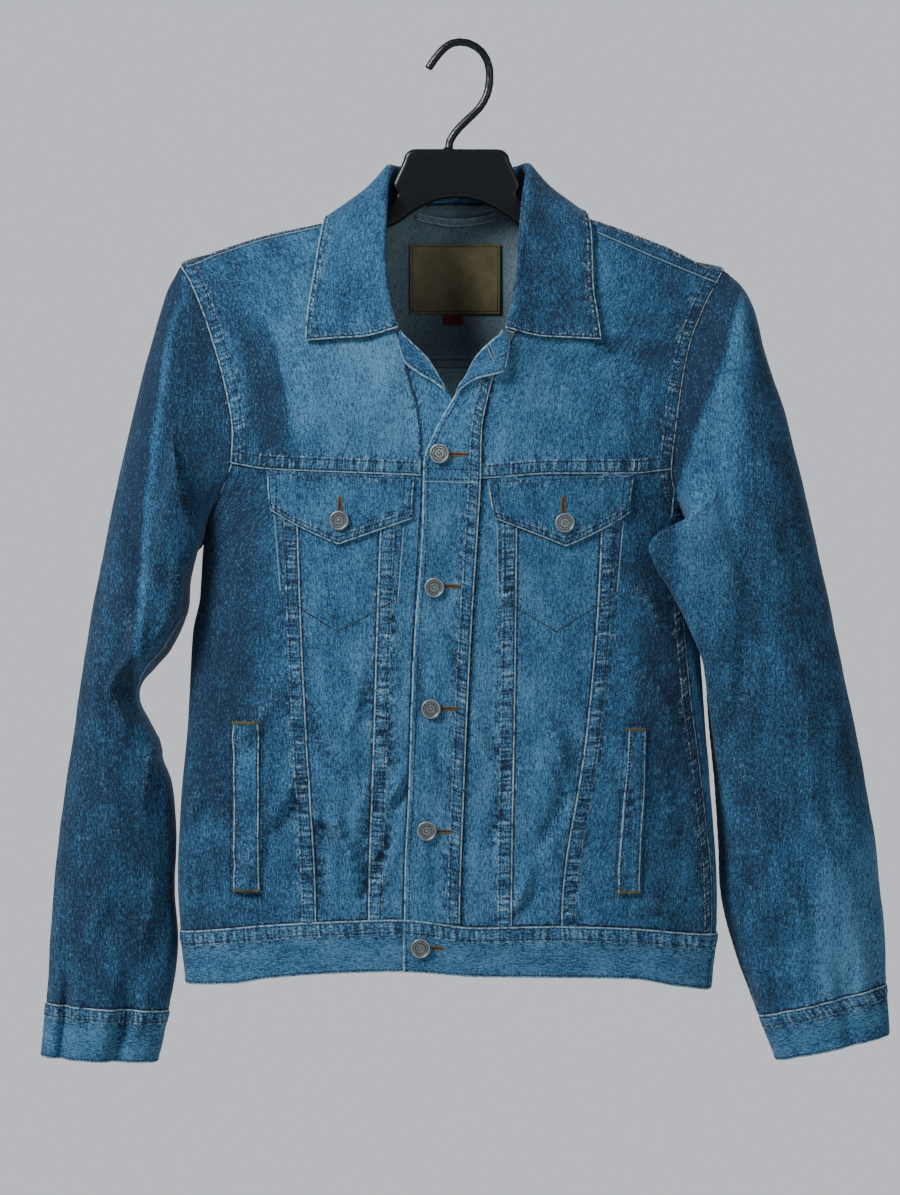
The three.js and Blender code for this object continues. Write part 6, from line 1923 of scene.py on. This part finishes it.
def make_metal():
    dark, light = colour(126, 138, 142), colour(168, 178, 180)
    shader, place, wear, base = mottled(
        "button_metal", (420, 420, 420), dark, light, 3.0, 0.6, (0.3, 0.7)
    )
    groove = shader.sums("MULTIPLY", shader.mark("groove"), 0.8)
    base = shader.blend(groove, base, colour(34, 44, 52))
    return shader.finish(base, 0.42, wear, 0.2, 0.0002, Metallic=0.6)


BUTTON_METAL = make_metal()


def make_button(name):
    """The rings turned round the axis of a solid button, along which it is thinnest."""
    solid = bpy.data.objects[name]
    corners = np.array([tuple(solid.matrix_world @ v.co) for v in solid.data.vertices]) / MM
    middle = corners.mean(0)
    axis = np.linalg.svd(corners - middle)[2][2]
    facing = 1 if "cuff" in name else -1
    axis = axis * np.sign(axis[1]) * facing
    heights = (corners - middle) @ axis
    foot = middle + axis * heights.min()
    scale = (heights.max() - heights.min()) / BUTTON_HEIGHT
    side = unit(np.cross(axis, [0, 0, 1.0]))
    up = np.cross(side, axis)
    turn = np.linspace(0, 2 * math.pi, BUTTON_SIDES + 1)
    rings = np.array(BUTTON_RINGS)
    round_about = np.cos(turn)[:, None] * side + np.sin(turn)[:, None] * up
    points = foot + rings[:, None, :1] * round_about[None] + rings[:, 1, None, None] * axis * scale
    flat = np.stack(np.meshgrid(turn, rings[:, 1]), -1)
    marks = {"groove": np.repeat(rings[:, 2:3], BUTTON_SIDES + 1, 1)}
    piece = grid_piece(name + "_ringed", points, flat, flat, marks, 0, [BUTTON_METAL])
    bpy.ops.object.mode_set(mode="EDIT")
    bpy.ops.mesh.select_all(action="SELECT")
    bpy.ops.mesh.remove_doubles(threshold=0.00002)
    bpy.ops.mesh.normals_make_consistent(inside=False)
    bpy.ops.object.mode_set(mode="OBJECT")
    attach(piece, "root")
    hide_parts(name)


BUTTONS = [f"button_front_{k}" for k in (1, 2, 3, 4)]
BUTTONS += ["button_" + place for place in ("waistband", "flap_left", "flap_right")]
BUTTONS += ["button_cuff_left", "button_cuff_right"]
for name in BUTTONS:
    make_button(name)
print(len(BUTTONS), "buttons turned")

# %% [markdown]
# The hanger is one moulding with soft edges. Its solid is copied, rebuilt from small
# even faces and smoothed, which rounds every corner a little as a mould does. Flat
# parts need few of those faces, so most are taken away again at the end.

# %% Hanger
VOXEL = 0.0012
HANGER_TRIANGLES = 36000


def make_plastic():
    dark, light = colour(12, 15, 20), colour(20, 24, 30)
    shader, place, waves, base = mottled(
        "hanger_plastic", (300, 300, 300), dark, light, 2.0, spread=(0.3, 0.7)
    )
    return shader.finish(base, 0.34, waves, 0.06, 0.0002)


solid = bpy.data.objects["hanger"]
hanger = solid.copy()
hanger.data = solid.data.copy()
hanger.name = "hanger_moulding"
hanger.parent = None
hanger.matrix_world = Matrix.Identity(4)
hanger.data.transform(solid.matrix_world)
bpy.context.collection.objects.link(hanger)
bpy.ops.object.select_all(action="DESELECT")
hanger.select_set(True)
bpy.context.view_layer.objects.active = hanger
remesh = hanger.modifiers.new("even", "REMESH")
remesh.mode = "VOXEL"
remesh.voxel_size = VOXEL
bpy.ops.object.modifier_apply(modifier=remesh.name)
smooth = hanger.modifiers.new("soften", "SMOOTH")
smooth.factor = 0.5
smooth.iterations = 10
bpy.ops.object.modifier_apply(modifier=smooth.name)
fewer = hanger.modifiers.new("fewer", "DECIMATE")
fewer.ratio = min(1.0, HANGER_TRIANGLES / (2 * len(hanger.data.polygons)))
bpy.ops.object.modifier_apply(modifier=fewer.name)
bpy.ops.object.shade_smooth()
hanger.data.materials.clear()
hanger.data.materials.append(make_plastic())
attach(hanger, "root")
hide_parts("hanger")
print("hanger moulded with", len(hanger.data.polygons), "faces")

# %% [markdown]
# The room is a small studio. A large lamp high on the left is the key, so that creases
# and bands throw short soft shadows to the right. A weaker one from the right keeps
# those shadows open, and one from behind lines the shoulders. A narrow spot brightens
# the leather patch inside the neck. The sky lights the jacket less than it shows to the
# camera, which keeps the background pale and the denim deep.

# %% Floor and light
SKY_LIGHT = 0.24
SKY_SEEN = 1.1


def aimed(lamp, place, target):
    """Turns a lamp at a place towards a target."""
    lamp.rotation_euler = (Vector(target) - Vector(place)).to_track_quat("-Z", "Y").to_euler()


def soft_light(name, place, target, size, power):
    bpy.ops.object.light_add(type="AREA", location=place)
    lamp = bpy.context.object
    lamp.name = name
    lamp.data.size = size
    lamp.data.energy = power
    aimed(lamp, place, target)


bpy.ops.object.select_all(action="DESELECT")
bpy.ops.mesh.primitive_plane_add(size=5, location=(0, 0, -1.75))
floor = bpy.context.object
floor.name = "floor"
floor.data.materials.append(Shader("floor_plaster").finish(colour(226, 226, 224), 0.9))
soft_light("key_light", (-1.8, -1.4, 1.2), (0, 0, -0.45), 0.8, 80)
soft_light("fill_light", (1.9, -2.4, 0.1), (0, 0, -0.5), 1.6, 18)
soft_light("back_light", (0.8, 2.2, 1.2), (0, 0, -0.4), 1.6, 30)

SPOT_PLACE = (-0.004, -1.5, -0.3)
bpy.ops.object.light_add(type="SPOT", location=SPOT_PLACE)
lamp = bpy.context.object
lamp.name = "neck_light"
lamp.data.energy = 16
lamp.data.spot_size = 0.075
lamp.data.spot_blend = 1.0
lamp.data.shadow_soft_size = 0.02
aimed(lamp, SPOT_PLACE, (-0.004, 0.05, -0.315))

world = bpy.data.worlds.new("studio")
bpy.context.scene.world = world
world.use_nodes = True
studio = world.node_tree
room = studio.nodes["Background"]
room.inputs["Color"].default_value = colour(206, 210, 216)
paths = studio.nodes.new("ShaderNodeLightPath")
seen = studio.nodes.new("ShaderNodeMapRange")
seen.inputs["To Min"].default_value = SKY_LIGHT
seen.inputs["To Max"].default_value = SKY_SEEN
studio.links.new(paths.outputs["Is Camera Ray"], seen.inputs["Value"])
studio.links.new(seen.outputs[0], room.inputs["Strength"])
